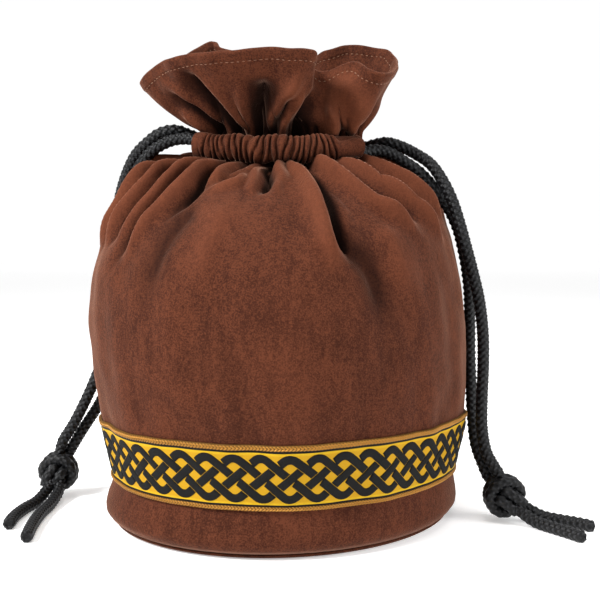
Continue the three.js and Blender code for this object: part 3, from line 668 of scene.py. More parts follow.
def braid_tree():
    """Geometry Nodes: a braided cord along each open line of a mesh."""
    tree, start, end = new_tree(
        "Braided cord",
        "GeometryNodeTree",
        (
            ("Geometry", "Geometry"),
            ("Diameter", "Float", 0.005),
            ("Relief", "Float", 0.0004),
            ("Lead", "Float", 0.015),
            ("Yarns", "Int", 6),
            ("Step", "Float", 0.0005),
            ("Sides", "Int", 30),
            ("Rounded End", "Float", 0.0),
            ("Material", "Material"),
        ),
        (("Geometry", "Geometry"),),
    )
    given = start.outputs
    line = add(tree, "GeometryNodeMeshToCurve", {"Mesh": given["Geometry"]})
    even = add(tree, "GeometryNodeResampleCurve", {"Curve": line.outputs[0], "Length": given["Step"]}, mode="LENGTH")
    place = add(tree, "GeometryNodeSplineParameter")
    total = add(tree, "GeometryNodeSplineLength")
    route = add(tree, "GeometryNodeCaptureAttribute", {"Geometry": even.outputs[0]})
    route.capture_items.new("FLOAT", "Length")
    route.capture_items.new("FLOAT", "To End")
    tree.links.new(place.outputs["Length"], route.inputs["Length"])
    left = Number(tree, total.outputs["Length"]) - Number(tree, place.outputs["Length"])
    tree.links.new(left.socket, route.inputs["To End"])
    radius = Number(tree, given["Diameter"]) * 0.5 - Number(tree, given["Relief"]) * 0.4
    circle = add(tree, "GeometryNodeCurvePrimitiveCircle", {"Resolution": given["Sides"], "Radius": radius.socket})
    spot = add(tree, "GeometryNodeSplineParameter")
    ring = add(tree, "GeometryNodeCaptureAttribute", {"Geometry": circle.outputs["Curve"]})
    ring.capture_items.new("FLOAT", "Around")
    tree.links.new(spot.outputs["Factor"], ring.inputs["Around"])
    tube = add(
        tree,
        "GeometryNodeCurveToMesh",
        {"Curve": route.outputs["Geometry"], "Profile Curve": ring.outputs["Geometry"], "Fill Caps": True},
    )
    yarns = Number(tree, given["Yarns"])
    around = Number(tree, ring.outputs["Around"]) * yarns
    along = Number(tree, route.outputs["Length"]) / Number(tree, given["Lead"]) * yarns
    height = weave_height(around + along + 200, around - along + 200)
    tip = (1 - Number(tree, route.outputs["To End"]) / radius).larger(0)
    shrink = (1 - (1 - tip.smaller(0.995) * tip.smaller(0.995)).power(0.5)) * given["Rounded End"]
    push = height * given["Relief"] - shrink * radius
    normal = add(tree, "GeometryNodeInputNormal")
    offset = add(tree, "ShaderNodeVectorMath", {0: normal.outputs[0], "Scale": push.socket}, operation="SCALE")
    moved = add(tree, "GeometryNodeSetPosition", {"Geometry": tube.outputs[0], "Offset": offset.outputs["Vector"]})
    stored = add(
        tree,
        "GeometryNodeStoreNamedAttribute",
        {"Geometry": moved.outputs[0], "Name": "weave", "Value": height.socket},
        data_type="FLOAT",
        domain="POINT",
    )
    finish_tree(tree, stored.outputs[0], given["Material"], end)
    return tree


def finish_tree(tree, geometry, material, end):
    """Realize instances, shade smooth, set the material and put the geometry out."""
    real = add(tree, "GeometryNodeRealizeInstances", {"Geometry": geometry})
    soft = add(tree, "GeometryNodeSetShadeSmooth", {"Geometry": real.outputs[0]})
    done = add(tree, "GeometryNodeSetMaterial", {"Geometry": soft.outputs[0], "Material": material})
    tree.links.new(done.outputs[0], end.inputs[0])


def stitch_tree():
    """Geometry Nodes: rounded stitches at an even pitch along each open line of a mesh."""
    tree, start, end = new_tree(
        "Row of stitches",
        "GeometryNodeTree",
        (
            ("Geometry", "Geometry"),
            ("Pitch", "Float", 0.0026),
            ("Length", "Float", 0.0017),
            ("Thickness", "Float", 0.0004),
            ("Unevenness", "Float", 0.22),
            ("Seed", "Int", 7),
            ("Material", "Material"),
        ),
        (("Geometry", "Geometry"),),
    )
    given = start.outputs
    line = add(tree, "GeometryNodeMeshToCurve", {"Mesh": given["Geometry"]})
    spots = add(tree, "GeometryNodeCurveToPoints", {"Curve": line.outputs[0], "Length": given["Pitch"]}, mode="LENGTH")
    turn = add(tree, "FunctionNodeAlignRotationToVector", {"Vector": spots.outputs["Tangent"]}, axis="X")
    bead = add(tree, "GeometryNodeMeshUVSphere", {"Segments": 8, "Rings": 6, "Radius": 0.5})
    uneven = add(tree, "FunctionNodeRandomValue", {"Seed": given["Seed"]}, data_type="FLOAT")
    put(tree, uneven.inputs[2], 1 - Number(tree, given["Unevenness"]))
    put(tree, uneven.inputs[3], 1 + Number(tree, given["Unevenness"]))
    stretch = add(tree, "ShaderNodeCombineXYZ")
    put(tree, stretch.inputs[0], Number(tree, given["Length"]) * uneven.outputs[1])
    put(tree, stretch.inputs[1], given["Thickness"])
    put(tree, stretch.inputs[2], given["Thickness"])
    beads = add(
        tree,
        "GeometryNodeInstanceOnPoints",
        {
            "Points": spots.outputs["Points"],
            "Instance": bead.outputs["Mesh"],
            "Rotation": turn.outputs[0],
            "Scale": stretch.outputs[0],
        },
    )
    finish_tree(tree, beads.outputs[0], given["Material"], end)
    return tree


# How many times the guide of the tiles goes round the band, and how far before the first tile it starts.
GUIDE_TURNS, GUIDE_LEAD = 1.5, 0.25


def wrap_tree():
    """Geometry Nodes: repeat a flat tile and lay it on a band by the band's UV map.

    The tile's X is a share of the way round in repeats, its Y the height on the band and its Z the lift.
    """
    tree, start, end = new_tree(
        "Repeat on band",
        "GeometryNodeTree",
        (
            ("Geometry", "Geometry"),
            ("Band", "Object"),
            ("Repeats", "Int", 46),
            ("Height Scale", "Float", 1.0),
            ("Material", "Material"),
        ),
        (("Geometry", "Geometry"),),
    )
    given = start.outputs
    repeats = Number(tree, given["Repeats"])
    spots = add(tree, "GeometryNodeMeshLine", {"Count": given["Repeats"], "Offset": (1, 0, 0)}, mode="OFFSET")
    tiles = add(tree, "GeometryNodeInstanceOnPoints", {"Points": spots.outputs[0], "Instance": given["Geometry"]})
    real = add(tree, "GeometryNodeRealizeInstances", {"Geometry": tiles.outputs[0]})
    here = add(tree, "ShaderNodeSeparateXYZ", {0: add(tree, "GeometryNodeInputPosition").outputs[0]})
    sample = add(tree, "ShaderNodeCombineXYZ")
    put(tree, sample.inputs[0], (Number(tree, here.outputs[0]) / repeats + GUIDE_LEAD) / GUIDE_TURNS)
    put(tree, sample.inputs[1], Number(tree, here.outputs[1]) * given["Height Scale"])
    band = add(tree, "GeometryNodeObjectInfo", {"Object": given["Band"]})
    uv = add(tree, "GeometryNodeInputNamedAttribute", {"Name": "UVMap"}, data_type="FLOAT_VECTOR")
    found = []
    for source in (
        add(tree, "GeometryNodeInputPosition").outputs[0],
        add(tree, "GeometryNodeInputNormal").outputs[0],
    ):
        node = add(tree, "GeometryNodeSampleUVSurface", data_type="FLOAT_VECTOR")
        tree.links.new(band.outputs["Geometry"], node.inputs["Mesh"])
        tree.links.new(source, node.inputs["Value"])
        tree.links.new(uv.outputs[0], node.inputs["UV Map"])
        tree.links.new(sample.outputs[0], node.inputs["Sample UV"])
        found.append(node.outputs[0])
    lift = add(tree, "ShaderNodeVectorMath", {0: found[1], "Scale": here.outputs[2]}, operation="SCALE")
    target = add(tree, "ShaderNodeVectorMath", {0: found[0], 1: lift.outputs[0]}, operation="ADD")
    moved = add(tree, "GeometryNodeSetPosition", {"Geometry": real.outputs[0], "Position": target.outputs[0]})
    finish_tree(tree, moved.outputs[0], given["Material"], end)
    return tree


# Finishes

def times(factor, base):
    """A colour with each of its parts multiplied."""
    return tuple(factor * v for v in base)


def noise(tree, vector, scale, detail=3.0, roughness=0.55, distortion=0.0):
    """A noise pattern's value."""
    node = add(
        tree,
        "ShaderNodeTexNoise",
        {"Vector": vector, "Scale": scale, "Detail": detail, "Roughness": roughness, "Distortion": distortion},
    )
    return Number(tree, node.outputs["Fac"])


def mixed(tree, share, first, second):
    """A colour between two colours."""
    node = tree.nodes.new("ShaderNodeMix")
    node.data_type = "RGBA"
    put(tree, node.inputs[0], share)
    put(tree, node.inputs[6], (*first, 1) if isinstance(first, tuple) else first)
    put(tree, node.inputs[7], (*second, 1) if isinstance(second, tuple) else second)
    return node.outputs[2]


def nap_group():
    """Shader group: the brushed nap of suede, as a colour mask and a height."""
    tree, start, end = new_tree(
        "Suede nap",
        "ShaderNodeTree",
        (
            ("Vector", "Vector"),
            ("Patch Scale", "Float", 42.0),
            ("Grain Scale", "Float", 1500.0),
            ("Stroke", "Float", 1.5),
        ),
        (("Mask", "Float"), ("Height", "Float"), ("Roughness", "Float")),
    )
    given = start.outputs
    scale = Number(tree, given["Patch Scale"])
    grain_scale = Number(tree, given["Grain Scale"])
    patches = noise(tree, given["Vector"], given["Patch Scale"], 5.0, 0.62, 0.6)
    strokes_at = add(tree, "ShaderNodeMapping", {"Vector": given["Vector"], "Scale": (1.0, 1.0, 0.34)})
    strokes = noise(tree, strokes_at.outputs[0], (scale * 4.5).socket, 4.0, 0.6, 0.9)
    specks = noise(tree, given["Vector"], (scale * 14).socket, 3.0, 0.7)
    grain = noise(tree, given["Vector"], given["Grain Scale"], 2.0, 0.6)
    fibres = noise(tree, given["Vector"], (grain_scale * 0.42).socket, 3.0, 0.65)
    mask = (patches - 0.5) * 1.1 + (strokes - 0.5) * given["Stroke"] + (specks - 0.5) * 1.5 + (grain - 0.5) * 3.0
    put(tree, end.inputs["Mask"], (mask + 0.5).larger(0).smaller(1))
    put(tree, end.inputs["Height"], grain * 0.5 + fibres * 0.7 + specks * 0.35)
    put(tree, end.inputs["Roughness"], patches * 0.12 + grain * 0.08 + 0.78)
    return tree


def weave_group():
    """Shader group: a fine woven ground, as a mask and a height, from lengths along and across it. The mask is the
    yarns' height with random blotches, used for painted shade on low yarns.
    """
    tree, start, end = new_tree(
        "Fine weave",
        "ShaderNodeTree",
        (("Vector", "Vector"), ("Warp Scale", "Float", 2200.0), ("Weft Scale", "Float", 3200.0)),
        (("Mask", "Float"), ("Height", "Float")),
    )
    given = start.outputs
    part = add(tree, "ShaderNodeSeparateXYZ", {0: given["Vector"]})
    warp = Number(tree, part.outputs[0]) * given["Warp Scale"]
    weft = Number(tree, part.outputs[1]) * given["Weft Scale"]
    height = weave_height(warp + 500, weft + 500)
    blotch = noise(tree, given["Vector"], 300.0, 3.0, 0.6)
    put(tree, end.inputs["Mask"], height * 0.7 + blotch * 0.5 - 0.1)
    put(tree, end.inputs["Height"], height)
    return tree


def new_material(name, roughness, **constants):
    """A material with its shader and texture coordinates ready."""
    material = bpy.data.materials.new(name)
    material.use_nodes = True
    tree = material.node_tree
    shader = tree.nodes["Principled BSDF"]
    shader.inputs["Roughness"].default_value = roughness
    for socket, value in constants.items():
        shader.inputs[socket.replace("_", " ")].default_value = value
    return material, tree, shader, add(tree, "ShaderNodeTexCoord")


def bump(tree, shader, height, strength, distance):
    """Bump on a shader's normal."""
    node = add(tree, "ShaderNodeBump", {"Height": height, "Strength": strength, "Distance": distance})
    tree.links.new(node.outputs[0], shader.inputs["Normal"])


def group(tree, kind, **inputs):
    """One of the shared shader groups, with its inputs set."""
    node = tree.nodes.new("ShaderNodeGroup")
    node.node_tree = bpy.data.node_groups[kind]
    for name, value in inputs.items():
        put(tree, node.inputs[name.replace("_", " ")], value)
    return node.outputs


# How much painted shade cloth gets in a furrow and where it is closed in, and from how closed in on.
FURROW_SHADE, CLOSED_SHADE, CLOSED_FROM = 1.3, 1.7, 0.24


def attribute(tree, name, output="Fac"):
    """What a mesh's attribute says at a shaded place."""
    return add(tree, "ShaderNodeAttribute", attribute_name=name).outputs[output]


def suede_material(colours):
    """Brown suede cloth, with painted shade in its folds and a painted highlight on its ridges."""
    material, tree, shader, place = new_material(
        "suede_cloth", 0.9, Sheen_Weight=0.30, Sheen_Roughness=0.32, Sheen_Tint=(1.0, 0.55, 0.38, 1),
        Specular_IOR_Level=0.1,
    )
    nap = group(tree, "Suede nap", Vector=place.outputs["Object"])
    fold = Number(tree, attribute(tree, "fold"))
    colour_node = mixed(tree, nap["Mask"], tuple(colours.suede_dark), tuple(colours.suede_light))
    # Painted highlight: ridges of the fold mask are mixed towards a lighter brown.
    painted_ridge_highlight = mixed(tree, (fold - 0.5).larger(0), colour_node, times(1.5, colours.suede_light))
    # Painted shade: furrows and closed-in places are mixed towards a much darker brown.
    closed = 1 - Number(tree, attribute(tree, "open"))
    shade = ((0.5 - fold).larger(0) * FURROW_SHADE + (closed - CLOSED_FROM).larger(0) * CLOSED_SHADE).smaller(1)
    deep = mixed(tree, shade, painted_ridge_highlight, times(0.25, colours.suede_dark))
    put(tree, shader.inputs["Base Color"], deep)
    put(tree, shader.inputs["Roughness"], nap["Roughness"])
    bump(tree, shader, nap["Height"], 0.6, 0.0005)
    return material


def cord_material(colours):
    """Black braided cord with a soft gloss, painted glints on its yarns' tops and painted shade in the grooves between
    them.
    """
    material, tree, shader, place = new_material("black_cord", 0.4, Specular_IOR_Level=0.22)
    fibres = noise(tree, place.outputs["Object"], 3200.0, 2.0, 0.7, 0.4)
    blotch = noise(tree, place.outputs["Object"], 240.0, 3.0, 0.6)
    weave = Number(tree, attribute(tree, "weave"))
    base = tuple(colours.cord)
    light = mixed(tree, (fibres - 0.4).larger(0) * 1.6, base, times(3.5, base))
    # Painted highlight: glints on the highest yarns.
    glint = mixed(tree, (weave - 0.72).larger(0) * (fibres * 4), light, times(16, base))
    # Painted shade: the grooves between the yarns are mixed towards near black.
    colour_node = mixed(tree, (0.6 - weave).larger(0) * 1.7, glint, times(0.2, base))
    put(tree, shader.inputs["Base Color"], colour_node)
    put(tree, shader.inputs["Roughness"], blotch * 0.2 + 0.30)
    bump(tree, shader, fibres, 0.45, 0.0003)
    return material


def thread_material(colours):
    """Tan sewing thread."""
    material, tree, shader, place = new_material("hem_thread", 0.6, Sheen_Weight=0.1)
    twist = noise(tree, place.outputs["Object"], 2600.0, 2.0)
    base = tuple(colours.thread)
    put(tree, shader.inputs["Base Color"], mixed(tree, twist, times(0.6, base), times(1.3, base)))
    bump(tree, shader, twist, 0.4, 0.0002)
    return material


def trim_material(colours, trim):
    """Yellow woven ground with its dark line, laid out on the band's own lengths."""
    material, tree, shader, _ = new_material("trim_ground", 0.6, Specular_IOR_Level=0.12)
    lengths = attribute(tree, "lay", "Vector")
    height = Number(tree, add(tree, "ShaderNodeSeparateXYZ", {0: lengths}).outputs[1])
    weave = group(tree, "Fine weave", Vector=lengths)
    from_middle = (height - trim.width / 2).math("ABSOLUTE", height - trim.width / 2)
    plait_ends = trim.plait_height / 2 + trim.strand / 2
    plait = 1 - from_middle.step(plait_ends - 0.0006, plait_ends)
    gold = mixed(tree, plait, tuple(colours.gold), tuple(colours.gold_deep))
    # Painted shade: low places of the weave are mixed towards a darker gold.
    sunk = (1 - Number(tree, weave["Mask"])).larger(0) * 0.5
    shaded = mixed(tree, sunk, gold, times(0.4, colours.gold_deep))
    inner = trim.width / 2 - trim.edge - trim.line
    under_edge = from_middle.step(inner + trim.line, inner + trim.line + 0.0002)
    edged = mixed(tree, under_edge, tuple(colours.plait), times(0.3, colours.metal))
    dark = from_middle.step(inner - 0.0001, inner)
    put(tree, shader.inputs["Base Color"], mixed(tree, dark, shaded, edged))
    bump(tree, shader, weave["Height"], 0.5, 0.00018)
    return material


def plait_material(colours):
    """Dark woven strands of the trim."""
    material, tree, shader, _ = new_material("trim_plait", 0.7, Specular_IOR_Level=0.12)
    lengths = attribute(tree, "lay", "Vector")
    weave = group(tree, "Fine weave", Vector=lengths, Warp_Scale=1700.0, Weft_Scale=2600.0)
    base = tuple(colours.plait)
    # Painted shade on the low yarns and a painted highlight on the high ones, with random blotches.
    put(tree, shader.inputs["Base Color"], mixed(tree, weave["Mask"], times(0.45, base), times(1.9, base)))
    bump(tree, shader, weave["Height"], 0.6, 0.0002)
    return material


def metal_material(colours):
    """Metallic thread of the trim's edges."""
    material, tree, shader, place = new_material("metal_thread", 0.38, Metallic=0.75)
    twist = noise(tree, place.outputs["Object"], 2400.0, 2.0)
    base = tuple(colours.metal)
    put(tree, shader.inputs["Base Color"], mixed(tree, twist, times(0.45, base), times(1.25, base)))
    put(tree, shader.inputs["Roughness"], twist * 0.3 + 0.28)
    bump(tree, shader, twist, 0.5, 0.0002)
    return material


def finish(name):
    """A finish by its name, made when it is first asked for."""
    if name in bpy.data.materials:
        return bpy.data.materials[name]
    scene = bpy.context.scene
    for kind, maker in (("Suede nap", nap_group), ("Fine weave", weave_group)):
        if kind not in bpy.data.node_groups:
            maker()
    makers = {
        "suede_cloth": lambda: suede_material(scene.pouch_colours),
        "black_cord": lambda: cord_material(scene.pouch_colours),
        "hem_thread": lambda: thread_material(scene.pouch_colours),
        "trim_ground": lambda: trim_material(scene.pouch_colours, scene.pouch_trim),
        "trim_plait": lambda: plait_material(scene.pouch_colours),
        "metal_thread": lambda: metal_material(scene.pouch_colours),
    }
    return makers[name]()


def shared_tree(name, maker):
    """A Geometry Nodes tree by its name, made when it is first asked for."""
    return bpy.data.node_groups.get(name) or maker()


# Cloth

WALL_COLUMNS = 480
COLLAR_COLUMNS = 600
CASING_STATIONS, CASING_ROUND = 420, 30
# Scale of the heights and widths in the fold tables, passes of blur, and how much painted shade furrows get and how
# much painted highlight ridges get.
WALL_TALL, WALL_BROAD, WALL_BLUR, WALL_FURROW_SHADE, WALL_RIDGE_HIGHLIGHT = 2.15, 0.68, 3, 1.8, 1.0
COLLAR_TALL, COLLAR_BROAD, COLLAR_BLUR, COLLAR_FURROW_SHADE, COLLAR_RIDGE_HIGHLIGHT = 2.4, 1.05, 4, 2.0, 0.9
# Height of a fold at which its mask, the painted shade or highlight, is full.
CLOTH_REACH, CASING_REACH = 0.0038, 0.0042
# Soft unevenness of the cloth, as rows for waves.
WALL_SOFT = (
    (0.55, 5, 0.4, 2.0), (0.45, 9, 2.1, -3.0), (0.32, 14, 1.0, 5.0), (0.22, 21, 4.0, -8.0),
    (0.16, 33, 0.2, 11.0), (0.14, 11, 0.9, 23.0), (0.10, 17, 2.6, -31.0),
)
WALL_CREASES = ((0.20, 8, 1.1, 40.0), (0.16, 13, 2.0, -52.0), (0.10, 27, 0.3, 64.0))
COLLAR_SOFT = ((0.5, 7, 0.3, 2.0), (0.4, 12, 1.7, -3.0), (0.28, 19, 0.6, 4.0), (0.18, 31, 2.9, -5.0))
# Rows of the side wall: from which share of its height, and how many up to the next one, closest at the shoulder.
WALL_ROWS = ((0, 0.30, 30), (0.30, 0.72, 34))
SHOULDER_FROM, SHOULDER_ROWS, WALL_INNER_ROWS = 0.72, 84, 34
# The front of the neck, in degrees, and its spread, where the wide gathers are weaker.
FRONT_AT, FRONT_SPREAD, FRONT_LESS = -88, 22, 0.75


def fold_mask(heights, reach):
    """0.5 on plain cloth, towards 1 on ridges and 0 in furrows: the suede paints a highlight towards 1 and shade
    towards 0.
    """
    return np.clip(0.5 + heights / (2 * reach), 0, 1)


def dressed_wall(form, degrees, level):
    """The middle of the side wall's cloth with its gathers and folds, and its fold mask for painted shade and
    highlight.
    """
    deg, lev = np.meshgrid(degrees, level)
    plain = form.wall(deg, lev)
    height = form.ring("up", lev)
    share = height / form.sizes.neck_height
    phase = neck_phase(form.sizes, degrees)
    lens = np.clip(form.ring("lens", lev), 0, 1)
    drift = 0.35 * np.sin(math.tau * 3 * phase + 8 * share) + 0.22 * np.sin(math.tau * 7 * phase + 1.0)
    count = form.sizes.gather_count
    near_neck = smooth(0.03, 0.6, lens)
    gathers = 1.5 * form.sizes.gather_depth * near_neck * pleats(count * phase + 0.5 * drift)
    front = np.exp(-((half_turn(deg - FRONT_AT) / FRONT_SPREAD) ** 2))
    shoulder = 1.5 * form.sizes.gather_depth * smooth(0.78, 0.91, share)
    wide = shoulder * (1 - smooth(0.5, 1.0, lens)) * (1 - FRONT_LESS * front)
    gathers = gathers + wide * pleats(0.5 * round(count * 1.3) * phase + 0.9 * drift + 0.2)

    def on_wall(at, up):
        return form.wall(at, form.level_at(up * form.sizes.neck_height))

    paths = softened(fold_heights(plain, degrees, WALL_FOLDS, on_wall, WALL_TALL, WALL_BROAD), WALL_BLUR)
    body = smooth(0.05, 0.25, share) * (1 - smooth(0.86, 0.95, share))
    soft, creases = waves(deg, share, WALL_SOFT), waves(deg, share, WALL_CREASES)
    lift = gathers + paths + body * soft + 0.55 * body * creases
    normal = turned_normals(plain)
    # Colour mask: painted shade in the furrows and a painted highlight on the ridges of the gathers, folds and waves.
    mask = gathers + np.where(paths < 0, WALL_FURROW_SHADE, WALL_RIDGE_HIGHLIGHT) * paths + 0.6 * body * (soft + creases)
    return plain + normal * lift[..., None], mask


def side_wall_mesh(form):
    """The side wall: a fine outer face and a coarser inner one, joined at both ends."""
    sizes = form.sizes
    degrees = np.linspace(-180, 180, WALL_COLUMNS, endpoint=False)
    rows = [np.linspace(*row, endpoint=False) for row in WALL_ROWS]
    heights = np.concatenate([*rows, np.linspace(SHOULDER_FROM, 1, SHOULDER_ROWS)])
    top = form.ring("up", form.levels)
    low = form.ring("up", 0)
    level = form.level_at(low + heights * (top - low))
    middle, mask = dressed_wall(form, degrees, level)
    normal = turned_normals(middle)
    half = sizes.cloth_wall / 2
    inner_rows = np.linspace(len(level) - 1, 0, WALL_INNER_ROWS).astype(int)
    outer = middle + normal * half
    inner = (middle - normal * half)[inner_rows]
    points = np.concatenate([outer, inner])
    faces = grid_faces(len(points), WALL_COLUMNS, up=True)
    mesh = mesh_from("side_wall_cloth", points, faces, finish("suede_cloth"))
    ridge = fold_mask(mask, CLOTH_REACH)
    point_values(mesh, "fold", np.concatenate([ridge, ridge[inner_rows]]))
    return mesh


def dressed_collar(form, degrees, rise):
    """The middle of the collar's cloth with its gathers and folds, and its fold mask for painted shade and highlight.
    """
    deg, up = np.meshgrid(degrees, rise)
    plain = form.collar(deg, up)
    phase = neck_phase(form.sizes, degrees)
    drift = 0.5 * np.sin(math.tau * 4 * phase + 3 * up) + 0.3 * np.sin(math.tau * 9 * phase + 1.0)
    count = round(form.sizes.gather_count * 0.9)
    gathers = 1.6 * form.sizes.gather_depth * (1 - smooth(0.2, 0.6, up)) * pleats(count * phase + 0.5 * drift)
    folds = fold_heights(plain, degrees, COLLAR_FOLDS, form.collar, COLLAR_TALL, COLLAR_BROAD)
    folds = softened(folds, COLLAR_BLUR)
    lift = gathers + folds + smooth(0.2, 0.6, up) * waves(deg, up, COLLAR_SOFT)
    normal = turned_normals(plain)
    # The second value is the colour mask: painted shade in furrows and a painted highlight on ridges.
    return plain + normal * lift[..., None], gathers + np.where(folds < 0, COLLAR_FURROW_SHADE, COLLAR_RIDGE_HIGHLIGHT) * folds


def rim_distance(points):
    """How far each point of a grid lies below its column's top, along the cloth."""
    steps = np.linalg.norm(np.diff(points, axis=0), axis=-1)
    return np.concatenate([np.cumsum(steps[::-1], axis=0)[::-1], np.zeros((1, points.shape[1]))])


def collar_faces(form, degrees, rise):
    """Outer and inner points of the collar with its thicker hem, its fold mask for painted shade and highlight, and
    each point's way to the rim.
    """
    sizes = form.sizes
    middle, mask = dressed_collar(form, degrees, rise)
    normal = turned_normals(middle)
    below = rim_distance(middle)
    half = sizes.cloth_wall / 2 + (sizes.hem_wall - sizes.cloth_wall) / 2 * (
        1 - smooth(sizes.hem_depth - 0.0002, sizes.hem_depth + 0.0012, below)
    )
    groove = 0.00035 * np.exp(-(((below - sizes.hem_depth) / 0.0006) ** 2))
    rounded = np.sqrt(np.clip(1 - (1 - np.clip(below / (sizes.hem_wall / 2), 0, 1)) ** 2, 0.02, 1))
    reach = (half - groove) * rounded
    return middle + normal * reach[..., None], middle - normal * reach[..., None], mask, below


def collar_mesh(form):
    """The collar: one ruffled cloth with both of its faces and its hem."""
    degrees = np.linspace(-180, 180, COLLAR_COLUMNS, endpoint=False)
    near_rim = 1 - 0.14 * (1 - np.linspace(0, 1, 22)) ** 1.6
    rise = np.concatenate([np.linspace(0, 0.86, 42, endpoint=False), near_rim])
    outer, inner, mask, _ = collar_faces(form, degrees, rise)
    points = np.concatenate([outer, inner[::-1]])
    faces = grid_faces(len(points), COLLAR_COLUMNS, up=True)
    mesh = mesh_from("collar_cloth", points, faces, finish("suede_cloth"))
    ridge = fold_mask(mask, CLOTH_REACH)
    # The inside face takes the mask turned over, so that the painted shade and highlight follow its own furrows and
    # ridges.
    point_values(mesh, "fold", np.concatenate([ridge, 1 - ridge[::-1]]))
    return mesh


def hem_lines(form):
    """Lines on both faces of the collar, one stitch line's depth below the rim."""
    degrees = np.linspace(-180, 180, 720, endpoint=False)
    rise = np.linspace(0.6, 1, 120)
    outer, inner, _, below = collar_faces(form, degrees, rise)
    row = np.argmin(np.abs(below - form.sizes.hem_depth), axis=0)
    columns = np.arange(len(degrees))
    lines = [face[row, columns] for face in (outer, inner)]
    smoothed = []
    for line in lines:
        for _ in range(3):
            line = (np.roll(line, 1, 0) + 2 * line + np.roll(line, -1, 0)) / 4
        smoothed.append(np.concatenate([line, line[:1]]))
    return smoothed


# A casing's gathers, as shares of its length: where they begin and end, and where the plain tab gets lower, with how
# much lower its upper and its lower half are.
RIBS_BEGIN, RIBS_END, TAB_FROM, TAB_UPPER, TAB_LOWER = (0.02, 0.08), (0.81, 0.85), (0.815, 0.85), 0.34, 0.2
# Depth of a gather, and how much taller the strip gets for each metre of it.
RIB_DEPTH, RIB_SWELL = 0.0028, 45


def casing_mesh(form, name, first, last):
    """A gathered casing strip: a soft flat tube that is open at both ends, with a plain tab at its right end."""
    sizes = form.sizes
    stations, round_count, inner_stations = CASING_STATIONS, CASING_ROUND, 60
    half_depth, half_height = form.casing_depth() / 2, form.casing_height() / 2
    offset = sizes.cloth_wall / 2 + sizes.gather_depth + sizes.seat + half_depth
    at = np.linspace(first, last, stations)
    line, out = form.neck_line(at, np.full(stations, offset))
    share = np.concatenate([[0], np.cumsum(np.hypot(*np.diff(line, axis=0).T))])
    share = share / share[-1]
    turn = np.linspace(0, math.tau, round_count, endpoint=False)

    def ring_points(shares, wall, ribs):
        line_x, line_y = (np.interp(shares, share, line[:, k]) for k in (0, 1))
        out_x, out_y = (np.interp(shares, share, out[:, k]) for k in (0, 1))
        c, s = np.cos(turn)[:, None], np.sin(turn)[:, None]
        reach = (half_depth - wall) * np.sign(c) * np.abs(c) ** 1.05
        up = (half_height - wall) * np.sign(s) * np.abs(s) ** 0.9
        if ribs:
            reach = reach + ribs * np.clip(c + 0.25, 0, 1) ** 0.5 * (rib_depth(shares[None, :], up) + 0.0004)
            lower = smooth(*TAB_FROM, shares[None, :]) * np.where(up > 0, TAB_UPPER, TAB_LOWER)
            up = up * (1 + RIB_SWELL * rib_depth(shares[None, :], up) - lower)
        x = line_x + out_x * reach
        y = line_y + out_y * reach
        sway = 0.0005 * np.sin(math.tau * (4.3 * shares + 0.1)) * (ribs > 0)
        z = sizes.neck_height + up + NOD_PER_DEPTH * line_y + sway
        return np.stack(np.broadcast_arrays(x, y, z), -1)

    def rib_depth(shares, up):
        tall = up / half_height
        tau = math.tau
        slant = (0.45 * np.sin(tau * (1.15 * shares + 0.12)) + 0.3 * np.sin(tau * (3.7 * shares + 0.4))) * tall
        fork = 0.16 * np.sin(tau * (6.3 * shares) + 1.9 * tall) + 0.10 * np.sin(tau * 13 * shares - 2.6 * tall)
        uneven = shares - 0.008 * np.sin(tau * 2.4 * shares)
        phase = np.pi * (1.12 * sizes.rib_count * uneven + slant + fork)
        ribs = np.abs(np.sin(phase)) ** 0.7 - 1
        gathered = smooth(*RIBS_BEGIN, shares) * (1 - smooth(*RIBS_END, shares))
        size = 1 + 0.3 * np.sin(tau * 7.3 * shares + 1.1 * tall)
        return RIB_DEPTH * gathered * size * ribs

    outer = ring_points(np.linspace(0, 1, stations), 0.0, 1.0)
    inner = ring_points(np.linspace(0, 1, inner_stations), sizes.casing_wall, 0.0)
    faces = [grid_faces(round_count, stations, around=False, up=True)]
    start = outer.shape[0] * outer.shape[1]
    faces.append(grid_faces(round_count, inner_stations, around=False, up=True, first=start)[:, ::-1])
    ring = np.arange(round_count)
    following = (ring + 1) % round_count
    for station, inner_station, flip in ((0, 0, False), (stations - 1, inner_stations - 1, True)):
        a, b = ring * stations + station, following * stations + station
        c, d = start + following * inner_stations + inner_station, start + ring * inner_stations + inner_station
        quad = np.stack([a, b, c, d], -1)
        faces.append(quad[:, ::-1] if flip else quad)
    points = np.concatenate([outer.reshape(-1, 3), inner.reshape(-1, 3)])
    mesh = mesh_from(name, points, np.concatenate(faces), finish("suede_cloth"))
    # Colour mask: painted shade in the gathers' furrows and a painted highlight on their ridges, a little lighter
    # overall, and painted shade inside the tube.
    ribs = rib_depth(np.linspace(0, 1, stations)[None, :], half_height * np.sin(turn)[:, None])
    ribs = ribs * np.clip(np.cos(turn)[:, None], 0, 1)
    inside = np.full(inner.shape[0] * inner.shape[1], 0.3)
    point_values(mesh, "fold", np.concatenate([fold_mask(0.0008 + ribs * 1.6, CASING_REACH).ravel(), inside]))
    return mesh


BASE_WALL = 0.0020


